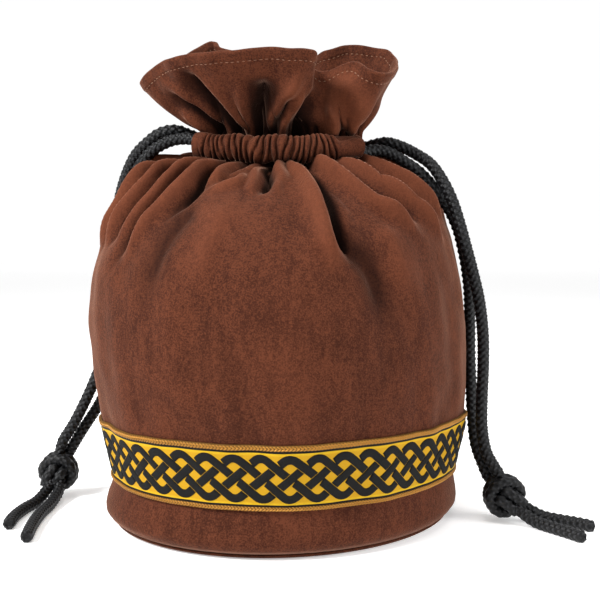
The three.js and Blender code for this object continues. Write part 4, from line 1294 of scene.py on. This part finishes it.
def base_mesh(form):
    """The base panel: flat on the table, with an edge that turns up to the side wall's seam."""
    sizes = form.sizes
    degrees = np.linspace(-180, 180, WALL_COLUMNS, endpoint=False)
    wide, side, seam_height = form.rings["wide"][0], form.rings["side"][0], form.rings["up"][0]
    edge = seam_height - sizes.cloth_wall / 2 - sizes.seat
    # Shares of the foot's half width, with heights: the underside, the turned-up edge and the upper side.
    rings = (
        (0.30, 0.0), (0.62, 0.0), (0.90, 0.0), (0.965, 0.0), (0.985, 0.0005), (0.997, 0.0011), (1.0, 0.0017),
        (0.995, edge), (0.96, edge), (0.93, BASE_WALL), (0.60, BASE_WALL), (0.30, BASE_WALL),
    )
    points = []
    for share, height in rings:
        x, y = section_point(degrees, wide * share, wide * share, 0.0)
        points.append(np.stack([x + side, y, np.full_like(x, height)], -1))
    points = np.concatenate(points)
    faces = [list(face) for face in grid_faces(len(rings), WALL_COLUMNS)]
    bottom, top = len(points), len(points) + 1
    points = np.concatenate([points, [[side, 0, 0], [side, 0, BASE_WALL]]])
    last = (len(rings) - 1) * WALL_COLUMNS
    for c in range(WALL_COLUMNS):
        following = (c + 1) % WALL_COLUMNS
        faces.append([bottom, following, c])
        faces.append([top, last + c, last + following])
    mesh = mesh_from("base_cloth", points, faces, finish("suede_cloth"))
    point_values(mesh, "fold", np.full(len(points), 0.45))
    return mesh


# How far away cloth still closes a place in, how many ways are looked in from it, how far off the cloth, how much a
# way has to face outwards, and one in how many rows and columns is looked at.
OPEN_REACH, OPEN_WAYS, OPEN_START, OPEN_FACING, OPEN_EVERY = 0.030, 30, 0.0005, 0.2, 2
# Columns of a cloth's grid, and the rows from and to which its openness is worked out. The rest counts as open.
OPEN_ROWS = {
    "side_wall_cloth": (WALL_COLUMNS, 60, 148),
    "collar_cloth": (COLLAR_COLUMNS, 0, 128),
    "casing_front_cloth": (CASING_STATIONS, 0, CASING_ROUND),
    "casing_back_cloth": (CASING_STATIONS, 0, CASING_ROUND),
}


def spread_directions(count):
    """Directions spread evenly over a sphere."""
    i = np.arange(count) + 0.5
    height = 1 - 2 * i / count
    turn = math.pi * (1 + 5**0.5) * i
    flat = np.sqrt(1 - height**2)
    return np.stack([np.cos(turn) * flat, np.sin(turn) * flat, height], -1)


def store_openness(pieces):
    """Store how open each place of the cloth lies, for the painted shade in deep folds: 1 on a free surface, towards 0
    deep in a fold.
    """
    points, faces = [], []
    for piece in pieces:
        first = len(points)
        points.extend(vertex.co.copy() for vertex in piece.data.vertices)
        faces.extend([first + i for i in face.vertices] for face in piece.data.polygons)
    tree = BVHTree.FromPolygons(points, faces)
    directions = spread_directions(OPEN_WAYS)
    vectors = [Vector(direction) for direction in directions]
    for piece in pieces:
        mesh = piece.data
        total = len(mesh.vertices)
        place, normal = np.empty(total * 3), np.empty(total * 3)
        mesh.vertices.foreach_get("co", place)
        mesh.vertices.foreach_get("normal", normal)
        place, normal = place.reshape(-1, 3), normal.reshape(-1, 3)
        columns, low, high = OPEN_ROWS.get(piece.name, (1, 0, 0))
        values = np.ones(total)
        if high:
            rows = np.arange(low, high, OPEN_EVERY)
            across = np.arange(0, columns, OPEN_EVERY)
            found = np.ones((len(rows), len(across)))
            for i, row in enumerate(rows):
                for j, column in enumerate(across):
                    k = row * columns + column
                    facing = directions @ normal[k]
                    start = Vector(place[k] + normal[k] * OPEN_START)
                    sum_open = sum_all = 0.0
                    for d in np.nonzero(facing > OPEN_FACING)[0]:
                        gap = tree.ray_cast(start, vectors[d], OPEN_REACH)[3]
                        sum_all += facing[d]
                        sum_open += facing[d] * (1 if gap is None else gap / OPEN_REACH)
                    found[i, j] = sum_open / sum_all
            wide = np.array([np.interp(np.arange(columns), across, line) for line in found])
            block = np.array([np.interp(np.arange(low, high), rows, line) for line in wide.T]).T
            values[low * columns : high * columns] = block.ravel()
        point_values(mesh, "open", values)


# Trim

BAND_COLUMNS = 828
BAND_ROWS = 29
# The band's wall at its top and bottom rows, as a share of its wall elsewhere.
BAND_RIM = 0.45
# Distance between a strand's points, which is also the way that it takes to rise from a cut.
STRAND_STEP = 0.0011


def band_grid(form, trim, lift, turns=1.0, start=0.0):
    """Points of the trim's lie on the side wall: columns at equal lengths round it, rows at equal heights."""
    degrees = np.linspace(-180, 180, 1440, endpoint=False)
    height = np.linspace(trim.foot, trim.foot + trim.width, BAND_ROWS)
    middle, _ = dressed_wall(form, degrees, form.level_at(height))
    surface = middle + turned_normals(middle) * (form.sizes.cloth_wall / 2 + form.sizes.seat + lift)
    centre = surface[BAND_ROWS // 2]
    share = arc_phase(centre[:, 0], centre[:, 1])
    count = round(BAND_COLUMNS * turns) + (1 if turns > 1 else 0)
    wanted = start + turns * np.linspace(0, 1, count, endpoint=turns > 1)
    share_3 = np.concatenate([share - 1, share, share + 1])
    surface_3 = np.concatenate([surface] * 3, axis=1)
    columns = [np.interp(wanted, share_3, surface_3[row, :, k]) for row in range(BAND_ROWS) for k in range(3)]
    points = np.array(columns).reshape(BAND_ROWS, 3, -1).transpose(0, 2, 1)
    around = np.hypot(*np.diff(np.concatenate([centre, centre[:1]])[:, :2], axis=0).T).sum()
    return points, around


def band_guide(form, trim):
    """A surface that tiles are laid on: it goes round one and a half times, so that none meets its edge."""
    points, _ = band_grid(form, trim, trim.wall, turns=GUIDE_TURNS, start=-GUIDE_LEAD)
    rows, columns = points.shape[:2]
    mesh = mesh_from("trim_guide", points, grid_faces(rows, columns, around=False))
    u, v = np.meshgrid(np.linspace(0, 1, columns), np.linspace(0, 1, rows))
    uv_from_points(mesh, np.stack([u, v], -1))
    return piece_from("trim_guide", mesh)


def band_mesh(form, trim):
    """The woven band with a soft edge at its top and bottom, and the length round its middle."""
    outer, around = band_grid(form, trim, 0.0)
    normal = turned_normals(outer)
    rows, columns = outer.shape[:2]
    height = np.linspace(0, trim.width, rows)[:, None]
    lift = np.full((rows, 1), trim.wall)
    lift[[0, -1]] = trim.wall * BAND_RIM
    front = outer + normal * lift[..., None]
    back_rows = np.linspace(rows - 1, 0, 5).astype(int)
    points = np.concatenate([front, outer[back_rows]])
    mesh = mesh_from("trim_band_weave", points, grid_faces(len(points), columns, up=True), finish("trim_ground"))
    lengths = np.zeros((len(points), columns, 3), np.float32)
    lengths[..., 0] = np.linspace(0, around, columns, endpoint=False)[None, :]
    lengths[..., 1] = np.concatenate([height[:, 0], height[back_rows, 0]])[:, None]
    point_vectors(mesh, "lay", lengths)
    return mesh, around


def strand_line(trim, pitch):
    """Middle line of one plait strand from its upper turn, at distance 0, to the next one."""
    half = trim.plait_height / 2
    reach = 2 * pitch
    slope = math.atan(2 * half / reach)
    for _ in range(30):
        slope = math.atan(2 * (half + trim.turn_radius * (1 / math.cos(slope) - 1)) / reach)
    x = np.linspace(-2 * reach, 2 * reach, 8001)
    from_top = np.abs((x + reach) % (2 * reach) - reach)
    peak = half + trim.turn_radius * (1 / math.cos(slope) - 1)
    arc = trim.turn_radius * math.sin(slope)
    y = peak - from_top * math.tan(slope)
    top_arc = half - trim.turn_radius + np.sqrt(np.clip(trim.turn_radius**2 - from_top**2, 0, None))
    from_foot = reach - from_top
    foot_arc = -(half - trim.turn_radius + np.sqrt(np.clip(trim.turn_radius**2 - from_foot**2, 0, None)))
    y = np.where(from_top < arc, top_arc, np.where(from_foot < arc, foot_arc, y))
    return x, y, slope


def ribbon(trim, pitch, first, last, cut_first, cut_last):
    """A raised strip of the plait along its strand, cut at each end along the strand that passes over it."""
    x, y, slope = strand_line(trim, pitch)
    step = np.hypot(np.diff(x), np.diff(y))
    distance = np.concatenate([[0], np.cumsum(step)])
    distance -= np.interp(0, x, distance)
    along_x, along_y = np.gradient(x, distance), np.gradient(y, distance)
    half = trim.strand / 2
    crossing = math.sin(2 * slope)
    clear = half + trim.under_gap
    begin, finish_at = (np.interp(place * pitch, x, distance) for place in (first, last))
    samples = 7
    across = half * np.sin(np.linspace(-np.pi / 2, np.pi / 2, samples))
    count = max(8, int((finish_at - begin) / STRAND_STEP))
    top = []
    for w in across:
        low = begin + (clear + cut_first * w * math.cos(2 * slope)) / crossing
        high = finish_at - (clear + cut_last * w * math.cos(2 * slope)) / crossing
        s = np.linspace(low, high, count)
        px, py, tx, ty = (np.interp(s, distance, column) for column in (x, y, along_x, along_y))
        swell = np.minimum(1, 0.35 + 0.65 * np.minimum(s - low, high - s) / STRAND_STEP)
        dome = (1 - abs(w / half) ** 3.5) ** 0.5 * 0.8 + 0.2
        top.append(np.stack([px - ty * w, py + tx * w, trim.strand_lift * dome * swell], -1))
    top = np.array(top)
    under = top[[-1, 0]].copy()
    under[..., 2] = -0.0002
    return np.concatenate([top, under])


def tile_mesh(name, parts, pitch, width):
    """A flat tile of closed strips, with X in repeats and Y as a share of the band's height."""
    points, faces = [], []
    for part in parts:
        first = sum(len(block) for block in points)
        rings, count = part.shape[:2]
        flat = part.reshape(-1, 3)
        points.append(flat)
        for a, b, c, d in grid_faces(rings, count, around=False, up=True, first=first):
            faces.append([a, b, c, d])
        faces.append([first + ring * count for ring in range(rings)])
        faces.append([first + ring * count + count - 1 for ring in reversed(range(rings))])
    flat = np.concatenate(points)
    lay = flat * [1, 1, 0] + [0, width / 2, 0]
    tile = np.stack([flat[:, 0] / pitch, flat[:, 1] / width + 0.5, flat[:, 2]], -1)
    mesh = mesh_from(name, tile, faces)
    point_vectors(mesh, "lay", lay)
    return mesh


def plait_tile(trim, pitch):
    """One repeat of the plait: an upper turn, a bar and a lower turn."""
    return tile_mesh("plait_tile", (
        ribbon(trim, pitch, -0.5, 1.0, 1, -1),
        ribbon(trim, pitch, -1.5, -0.5, -1, 1),
        ribbon(trim, pitch, 1.0, 2.5, -1, 1),
    ), pitch, trim.width)


def capsule(start, end, radius, rings=7, sides=8):
    """A rounded rod between two points, as rows of points round it."""
    start, end = np.array(start), np.array(end)
    axis = end - start
    reach = np.linalg.norm(axis)
    axis = axis / reach
    side = np.cross(axis, [0, 0, 1])
    side /= np.linalg.norm(side)
    up = np.cross(side, axis)
    turn = np.linspace(0, 2 * np.pi, sides, endpoint=False)
    rows = []
    for t in np.linspace(0, np.pi, rings):
        centre = (start + end) / 2 - axis * (reach / 2 + radius) * math.cos(t)
        size = radius * max(math.sin(t), 0.12) ** 0.7
        rows.append(centre + size * (np.cos(turn)[:, None] * side + np.sin(turn)[:, None] * up))
    return np.array(rows).transpose(1, 0, 2)


# A loop of the metallic edges: how far from the edge's middle it starts and ends, and its radius, as shares of the
# edge. The first and the last stay under 0.5 together, or a loop would pass the band's rim. Then its length as a
# share of the loops' step, and its lift at both ends.
LOOP_OUT, LOOP_IN, LOOP_RADIUS = 0.32, 0.05, 0.16
LOOP_LONG, LOOP_LOW, LOOP_HIGH = 0.72, 0.00014, 0.00034


def edge_tile(trim, pitch):
    """One repeat of both metallic edges: two rows of leaning loops on each."""
    step = pitch / trim.edge_repeats
    parts = []
    for side in (-1, 1):
        middle = side * (trim.width - trim.edge) / 2
        for i in range(trim.edge_repeats):
            x = i * step
            for row in (-1, 1):
                start = (x, middle + row * trim.edge * LOOP_OUT, LOOP_LOW)
                end = (x + step * LOOP_LONG, middle + row * trim.edge * LOOP_IN, LOOP_HIGH)
                parts.append(capsule(start, end, trim.edge * LOOP_RADIUS))
    return tile_mesh("edge_tile", parts, pitch, trim.width)


# Cords

CORD_ROUTES = {
    "cord_left_front": (
        (-0.0413, -0.0092, 0.1834), (-0.0466, -0.0056, 0.1848), (-0.0544, -0.0026, 0.1844), (-0.0636, 0.0004, 0.1804),
        (-0.0698, 0.0036, 0.1748), (-0.0748, 0.0086, 0.1674), (-0.0786, 0.016, 0.157), (-0.0808, 0.0246, 0.145),
        (-0.0816, 0.0324, 0.131), (-0.0822, 0.0394, 0.115), (-0.0836, 0.0428, 0.098), (-0.086, 0.0426, 0.08),
        (-0.0914, 0.0396, 0.063), (-0.0984, 0.035, 0.047), (-0.1064, 0.03, 0.034), (-0.1102, 0.028, 0.0276),
        (-0.1129, 0.0269, 0.0228),
    ),
    "cord_left_back": (
        (-0.0413, 0.0092, 0.1861), (-0.0462, 0.0062, 0.1874), (-0.0536, 0.0042, 0.1898), (-0.0613, 0.005, 0.1886),
        (-0.0689, 0.008, 0.1836), (-0.0746, 0.0116, 0.1784), (-0.079, 0.0154, 0.1714), (-0.083, 0.0196, 0.162),
        (-0.0864, 0.024, 0.15), (-0.0886, 0.0286, 0.136), (-0.0898, 0.032, 0.12), (-0.0906, 0.034, 0.102),
        (-0.093, 0.0344, 0.085), (-0.0974, 0.0326, 0.068), (-0.1036, 0.0294, 0.052), (-0.1106, 0.026, 0.0376),
        (-0.1158, 0.0242, 0.029), (-0.1172, 0.0236, 0.0243),
    ),
    "cord_right_front": (
        (0.0369, -0.0124, 0.1775), (0.0406, -0.0092, 0.1782), (0.0456, -0.0064, 0.1792), (0.0528, -0.0044, 0.1778),
        (0.0602, -0.0036, 0.1736), (0.0672, -0.0032, 0.1688), (0.0726, -0.003, 0.1634), (0.0774, -0.0026, 0.1578),
        (0.0814, -0.002, 0.1522), (0.0869, 0.0, 0.1416), (0.0902, 0.002, 0.1308), (0.0926, 0.004, 0.12),
        (0.0942, 0.006, 0.109), (0.095, 0.008, 0.094), (0.095, 0.007, 0.078), (0.095, 0.003, 0.062),
        (0.0948, -0.003, 0.047), (0.0956, -0.0086, 0.034), (0.0984, -0.013, 0.0248), (0.1008, -0.015, 0.0192),
    ),
    "cord_right_back": (
        (0.0369, 0.0124, 0.181), (0.0406, 0.0092, 0.1814), (0.0452, 0.0062, 0.1826), (0.0518, 0.0034, 0.1836),
        (0.0588, 0.002, 0.1816), (0.0658, 0.0006, 0.178), (0.0728, -0.0042, 0.1726), (0.078, -0.0074, 0.1648),
        (0.0824, -0.0104, 0.155), (0.0858, -0.0116, 0.1444), (0.089, -0.012, 0.133), (0.0924, -0.0118, 0.1206),
        (0.096, -0.0112, 0.106), (0.098, -0.0112, 0.09), (0.0982, -0.012, 0.074), (0.0974, -0.0136, 0.058),
        (0.0972, -0.0154, 0.043), (0.099, -0.0172, 0.032), (0.1018, -0.0188, 0.0264), (0.1042, -0.02, 0.0224),
    ),
}
TAIL_ROUTES = {
    "tail_left_1": ((-0.1217, 0.0122, 0.0062), (-0.1244, 0.0, 0.003), (-0.1274, -0.012, 0.00275),
                    (-0.129, -0.026, 0.00275), (-0.1283, -0.04, 0.00275)),
    "tail_left_2": ((-0.1157, 0.0122, 0.0061), (-0.1164, -0.002, 0.003), (-0.1176, -0.02, 0.00275),
                    (-0.117, -0.04, 0.00275), (-0.115, -0.06, 0.00275)),
    "tail_right_1": ((0.1181, -0.0252, 0.006), (0.124, -0.028, 0.0034), (0.131, -0.032, 0.00275),
                     (0.138, -0.037, 0.00275), (0.1444, -0.043, 0.00275)),
    "tail_right_2": ((0.1142, -0.0306, 0.0056), (0.119, -0.036, 0.003), (0.1244, -0.044, 0.00275),
                     (0.13, -0.052, 0.00275), (0.135, -0.06, 0.00275)),
}
KNOTS = {
    "knot_left": {"place": (-0.118, 0.022, 0.0126), "towards": (-0.2, -0.5, -0.6), "turn": 0, "mirror": 1},
    "knot_right": {"place": (0.1074, -0.022, 0.0112), "towards": (0.62, -0.35, -0.5), "turn": -28, "mirror": -1},
}
# The casing end that each cord comes out of, in degrees, how many degrees further in it starts, and how far above
# the channel's middle it runs.
MOUTHS = {
    "cord_left_front": (-160, 16, 0.0027),
    "cord_left_back": (160, -16, 0.0028),
    "cord_right_front": (-28, -10, -0.0027),
    "cord_right_back": (28, 10, -0.0027),
}


def between(t, low, high, first, second):
    """A value on the straight way from first at low to second at high."""
    return (high - t) / (high - low) * first + (t - low) / (high - low) * second


def smooth_route(points, step=0.001):
    """A smooth line through points: centripetal, as a soft cord bends, at an even step."""
    points = np.array(points, float)
    points = np.concatenate([[2 * points[0] - points[1]], points, [2 * points[-1] - points[-2]]])
    out = []
    for i in range(1, len(points) - 2):
        p = points[i - 1 : i + 3]
        knot = np.concatenate([[0], np.cumsum(np.sqrt(np.linalg.norm(np.diff(p, axis=0), axis=1)))])
        t = np.linspace(knot[1], knot[2], 24, endpoint=False)[:, None]
        for reach in (1, 2):
            p = [between(t, knot[k], knot[k + reach], p[k], p[k + 1]) for k in range(len(p) - 1)]
        out.append(between(t, knot[1], knot[2], *p))
    line = np.concatenate(out + [points[-2:-1]])
    distance = np.concatenate([[0], np.cumsum(np.linalg.norm(np.diff(line, axis=0), axis=1))])
    wanted = np.linspace(0, distance[-1], max(3, round(distance[-1] / step)))
    return np.stack([np.interp(wanted, distance, line[:, k]) for k in range(3)], -1)


def knot_of(name):
    """The name of the knot that a cord or a short end goes into."""
    return "knot_left" if "left" in name else "knot_right"


# Half a knot's length, how far from its middle a cord stops inside it, and how much of a cord's place beside the
# knot's axis it keeps there.
KNOT_HALF, KNOT_STOP, KNOT_KEEP = 0.01175, 0.002, 0.35
# How close the two cords of a knot lie, as a share of their diameter, and how much flatter their braid is.
KNOT_PAIR, KNOT_RELIEF = 0.98, 0.62


def inside_knot(name, point, side):
    """Where a cord stops inside its knot: side is -1 above the knot and 1 below it."""
    knot = KNOTS[knot_of(name)]
    axis = np.array(knot["towards"], float)
    axis /= np.linalg.norm(axis)
    middle = np.array(knot["place"])
    stop = middle + side * axis * KNOT_STOP + (np.array(point) - (middle + side * axis * KNOT_HALF)) * KNOT_KEEP
    return tuple(stop)


# An overhand knot of a doubled cord, seen from the front: right, back and up of the pair's middle in millimetres,
# and the direction in which its two cords lie side by side there.
KNOT_TURNS = (
    ((4.2, 3.6, 6.4), (0.6, 0.7, -0.3)), ((0.2, 4.0, 1.0), (0.7, 0.2, -0.7)),
    ((-4.6, 3.2, -3.6), (0.4, 0.8, -0.4)), ((-7.2, 1.2, -1.4), (0, 1, 0)), ((-7.4, 0.2, 2.6), (0, 1, 0)),
    ((-4.4, -0.4, 6.6), (0, 1, 0.1)), ((0.4, -0.8, 8.0), (0, 1, 0.2)), ((5.0, -0.8, 6.2), (0, 1, 0.1)),
    ((7.4, -0.2, 1.6), (0, 1, 0)), ((6.4, 0.6, -3.8), (0, 1, 0)), ((2.4, 1.2, -6.4), (0.2, 1, 0)),
    ((0.4, 0.6, -3.0), (0.9, 0.4, 0.1)), ((1.8, -1.8, 1.2), (0.9, 0.2, -0.4)), ((0.8, -4.6, 2.4), (0.9, 0, -0.4)),
    ((-1.6, -6.2, -1.4), (0.9, 0, -0.4)), ((-3.4, -6.4, -6.2), (0.95, 0, -0.3)),
)


def knot_strands(knot, cords):
    """The two cords of an overhand knot, side by side all the way round it."""
    middle = np.array(knot["place"])
    turn = math.radians(knot["turn"])
    lines = []
    for side in (-0.5, 0.5):
        points = []
        for spot, beside in KNOT_TURNS:
            beside = np.array(beside) / np.linalg.norm(beside)
            x, y, z = np.array(spot) / 1000 + side * cords.diameter * KNOT_PAIR * beside
            x, z = x * math.cos(turn) - z * math.sin(turn), x * math.sin(turn) + z * math.cos(turn)
            points.append(middle + np.array([knot["mirror"] * x, y, z]))
        lines.append(smooth_route(points, 0.0006))
    return lines


def braided(name, paths, cords, rounded=0.0, step=0.00043, relief=1.0):
    """A braided cord along each path."""
    return grown(
        name,
        wire_mesh(name, paths),
        shared_tree("Braided cord", braid_tree),
        Diameter=cords.diameter,
        Relief=cords.relief * relief,
        Lead=cords.lead,
        Yarns=cords.carriers,
        Step=step,
        Sides=40,
        Material=finish("black_cord"),
        **{"Rounded End": rounded},
    )


def cord_path(form, name):
    """A cord's whole visible route: out of the casing, down to the knot and into its middle."""
    first, inwards, lift = MOUTHS[name]
    half = form.casing_depth() / 2
    offset = form.sizes.cloth_wall / 2 + form.sizes.gather_depth + form.sizes.seat + half
    start = []
    for share in (1.0, 0.55):
        plan, _ = form.neck_line(np.array([first + inwards * share]), np.array([offset]))
        x, y = plan[0]
        start.append((x, y, form.sizes.neck_height + lift + NOD_PER_DEPTH * y))
    route = list(CORD_ROUTES[name])
    return smooth_route(start + route + [inside_knot(name, route[-1], -1)])


# Operators

def stand_for(piece, node):
    """Say what a piece rides on and which solid it replaces."""
    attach(piece, "root")
    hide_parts(node)


def scene_form():
    """The form at the sizes that the scene holds."""
    return Form(bpy.context.scene.pouch_sizes)


class POUCH_OT_cloth(bpy.types.Operator):
    """Build the side wall, the collar and the base."""

    bl_idname = "pouch.cloth"
    bl_label = "Cloth"

    def execute(self, context):
        form = scene_form()
        wall = piece_from("side_wall_cloth", side_wall_mesh(form))
        collar = piece_from("collar_cloth", collar_mesh(form))
        base = piece_from("base_cloth", base_mesh(form))
        for piece, node in ((wall, "side_wall"), (collar, "collar"), (base, "base_panel")):
            stand_for(piece, node)
        return {"FINISHED"}


class POUCH_OT_casings(bpy.types.Operator):
    """Build the two gathered casing strips."""

    bl_idname = "pouch.casings"
    bl_label = "Casings"

    def execute(self, context):
        form = scene_form()
        for name, node, first, last in (
            ("casing_front_cloth", "casing_front", -180 + CASING_LEFT, -CASING_RIGHT),
            ("casing_back_cloth", "casing_back", CASING_RIGHT, 180 - CASING_LEFT),
        ):
            piece = piece_from(name, casing_mesh(form, name, first, last))
            stand_for(piece, node)
        return {"FINISHED"}


class POUCH_OT_fold_shade(bpy.types.Operator):
    """Find the deep folds, where shade is painted into the suede's colour."""

    bl_idname = "pouch.nap"
    bl_label = "Painted shade in the folds"

    def execute(self, context):
        store_openness([piece for piece in context.scene.objects if piece.name.endswith("_cloth")])
        return {"FINISHED"}


class POUCH_OT_hem(bpy.types.Operator):
    """Sew the collar's hem."""

    bl_idname = "pouch.hem"
    bl_label = "Hem stitches"

    def execute(self, context):
        trim = context.scene.pouch_trim
        stitches = grown(
            "hem_stitches",
            wire_mesh("hem_stitches", hem_lines(scene_form())),
            shared_tree("Row of stitches", stitch_tree),
            Pitch=trim.stitch_pitch,
            Length=trim.stitch_length,
            Thickness=trim.stitch_thickness,
            Material=finish("hem_thread"),
        )
        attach(stitches, "root")
        return {"FINISHED"}


class POUCH_OT_trim(bpy.types.Operator):
    """Build the woven trim with its plait and its metallic edges."""

    bl_idname = "pouch.trim"
    bl_label = "Trim"

    def execute(self, context):
        form, trim = scene_form(), context.scene.pouch_trim
        weave, around = band_mesh(form, trim)
        band = piece_from("trim_band_weave", weave)
        guide = band_guide(form, trim)
        pitch = around / trim.repeats
        tree = shared_tree("Repeat on band", wrap_tree)
        plait = grown(
            "trim_plait_strands", plait_tile(trim, pitch), tree, Band=guide, Repeats=trim.repeats,
            Material=finish("trim_plait"),
        )
        edges = grown(
            "trim_metal_edges", edge_tile(trim, pitch), tree, Band=guide, Repeats=trim.repeats,
            Material=finish("metal_thread"),
        )
        bpy.data.objects.remove(guide)
        for piece in (band, plait, edges):
            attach(piece, "root")
        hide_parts("trim_band")
        return {"FINISHED"}


class POUCH_OT_cords(bpy.types.Operator):
    """Lay the braided cords, their knots and their short ends."""

    bl_idname = "pouch.cords"
    bl_label = "Cords"

    def execute(self, context):
        form, cords = scene_form(), context.scene.pouch_cords
        knots = {}
        for name, knot in KNOTS.items():
            knots[name] = braided(name + "_braid", knot_strands(knot, cords), cords, relief=KNOT_RELIEF)
            stand_for(knots[name], name)
        for name in CORD_ROUTES:
            line = cord_path(form, name)
            piece = braided(name + "_braid", [line], cords)
            stand_for(piece, name)
        for name, route in TAIL_ROUTES.items():
            line = smooth_route([inside_knot(name, route[0], 1), *route])
            piece = braided(name + "_braid", [line], cords, rounded=1.0)
            stand_for(piece, name)
        return {"FINISHED"}


# Camera and studio

VIEW_TARGET = Vector((0, 0, 0.120))
VIEW_ELEVATION, VIEW_DISTANCE = math.radians(2.6), 0.520
VIEW_LENS, VIEW_SHIFT = 62.4, (17 / 600, -30 / 600)
FLOOR_REACH, FLOOR_GLOW, WORLD_LIGHT = 3.0, 0.4, 0.26
# Name, place, size of a side and power in watts.
LIGHTS = (
    ("left_light", (-0.78, -0.52, 0.85), 0.32, 22),
    ("right_light", (0.92, -0.35, 0.50), 0.5, 7),
    ("top_light", (0.05, -0.05, 1.1), 0.6, 5.5),
)


def area_light(name, place, size, power):
    """A soft light that faces the pouch."""
    data = bpy.data.lights.new(name, "AREA")
    data.shape = "RECTANGLE"
    data.size = data.size_y = size
    data.energy = power
    light = bpy.data.objects.new(name, data)
    collection().objects.link(light)
    light.location = place
    light.rotation_euler = (VIEW_TARGET - Vector(place)).to_track_quat("-Z", "Y").to_euler()


class POUCH_OT_stage(bpy.types.Operator):
    """Set up the camera, the pale floor and the soft studio light."""

    bl_idname = "pouch.stage"
    bl_label = "Stage"

    def execute(self, context):
        data = bpy.data.cameras.new("camera")
        data.sensor_width = 36
        data.lens = VIEW_LENS
        data.shift_x, data.shift_y = VIEW_SHIFT
        camera = bpy.data.objects.new("camera", data)
        collection().objects.link(camera)
        camera.location = VIEW_TARGET + VIEW_DISTANCE * Vector(
            (0, -math.cos(VIEW_ELEVATION), math.sin(VIEW_ELEVATION))
        )
        camera.rotation_euler = (math.pi / 2 - VIEW_ELEVATION, 0, 0)
        context.scene.camera = camera
        material, tree, shader, place = new_material("studio_floor", 0.85, Emission_Strength=FLOOR_GLOW)
        put(tree, shader.inputs["Emission Color"], (1, 1, 1, 1))
        cloud = noise(tree, place.outputs["Object"], 3.0, 2.0)
        base = tuple(context.scene.pouch_colours.floor)
        put(tree, shader.inputs["Base Color"], mixed(tree, cloud, base, times(1.04, base)))
        reach = FLOOR_REACH
        corners = [(-reach, -reach, 0), (reach, -reach, 0), (reach, reach, 0), (-reach, reach, 0)]
        floor = piece_from("floor", mesh_from("floor", corners, [(0, 1, 2, 3)], material))
        glow, glow_tree, glow_shader, _ = new_material("studio_backdrop", 1.0, Emission_Strength=1.0)
        put(glow_tree, glow_shader.inputs["Emission Color"], (1, 1, 1, 1))
        put(glow_tree, glow_shader.inputs["Base Color"], (0, 0, 0, 1))
        wall = [(-reach, reach, 0), (reach, reach, 0), (reach, reach, reach), (-reach, reach, reach)]
        piece_from("backdrop", mesh_from("backdrop", wall, [(0, 1, 2, 3)], glow))
        for row in LIGHTS:
            area_light(*row)
        context.scene.view_settings.view_transform = "Standard"
        world = bpy.data.worlds.new("studio")
        world.use_nodes = True
        background = world.node_tree.nodes["Background"].inputs
        background["Color"].default_value = (1, 1, 1, 1)
        background["Strength"].default_value = WORLD_LIGHT
        context.scene.world = world
        return {"FINISHED"}


class POUCH_PT_panel(bpy.types.Panel):
    """Sizes, colours and steps of the pouch."""

    bl_label = "Drawstring Pouch"
    bl_idname = "POUCH_PT_panel"
    bl_space_type = "VIEW_3D"
    bl_region_type = "UI"
    bl_category = "Pouch"

    def draw(self, context):
        for values in (
            context.scene.pouch_sizes, context.scene.pouch_cords, context.scene.pouch_trim, context.scene.pouch_colours
        ):
            box = self.layout.box()
            for name in values.bl_rna.properties.keys():
                if name not in {"rna_type", "name"}:
                    box.prop(values, name)
        for operator in STEPS:
            self.layout.operator(operator.bl_idname)


STEPS = (POUCH_OT_stage, POUCH_OT_cords, POUCH_OT_cloth, POUCH_OT_casings, POUCH_OT_fold_shade, POUCH_OT_hem, POUCH_OT_trim)
GROUPS = {"pouch_sizes": PouchSizes, "pouch_cords": CordSizes, "pouch_trim": TrimSizes, "pouch_colours": PouchColours}


def register():
    for kind in (*GROUPS.values(), *STEPS, POUCH_PT_panel):
        bpy.utils.register_class(kind)
    for name, kind in GROUPS.items():
        setattr(bpy.types.Scene, name, bpy.props.PointerProperty(type=kind))


def unregister():
    for name in GROUPS:
        delattr(bpy.types.Scene, name)
    for kind in reversed((*GROUPS.values(), *STEPS, POUCH_PT_panel)):
        bpy.utils.unregister_class(kind)


def main():
    register()
    bpy.ops.pouch.stage()
    bpy.ops.pouch.cords()
    bpy.ops.pouch.cloth()
    bpy.ops.pouch.casings()
    bpy.ops.pouch.nap()
    bpy.ops.pouch.hem()
    bpy.ops.pouch.trim()


if __name__ == "__main__":
    main()
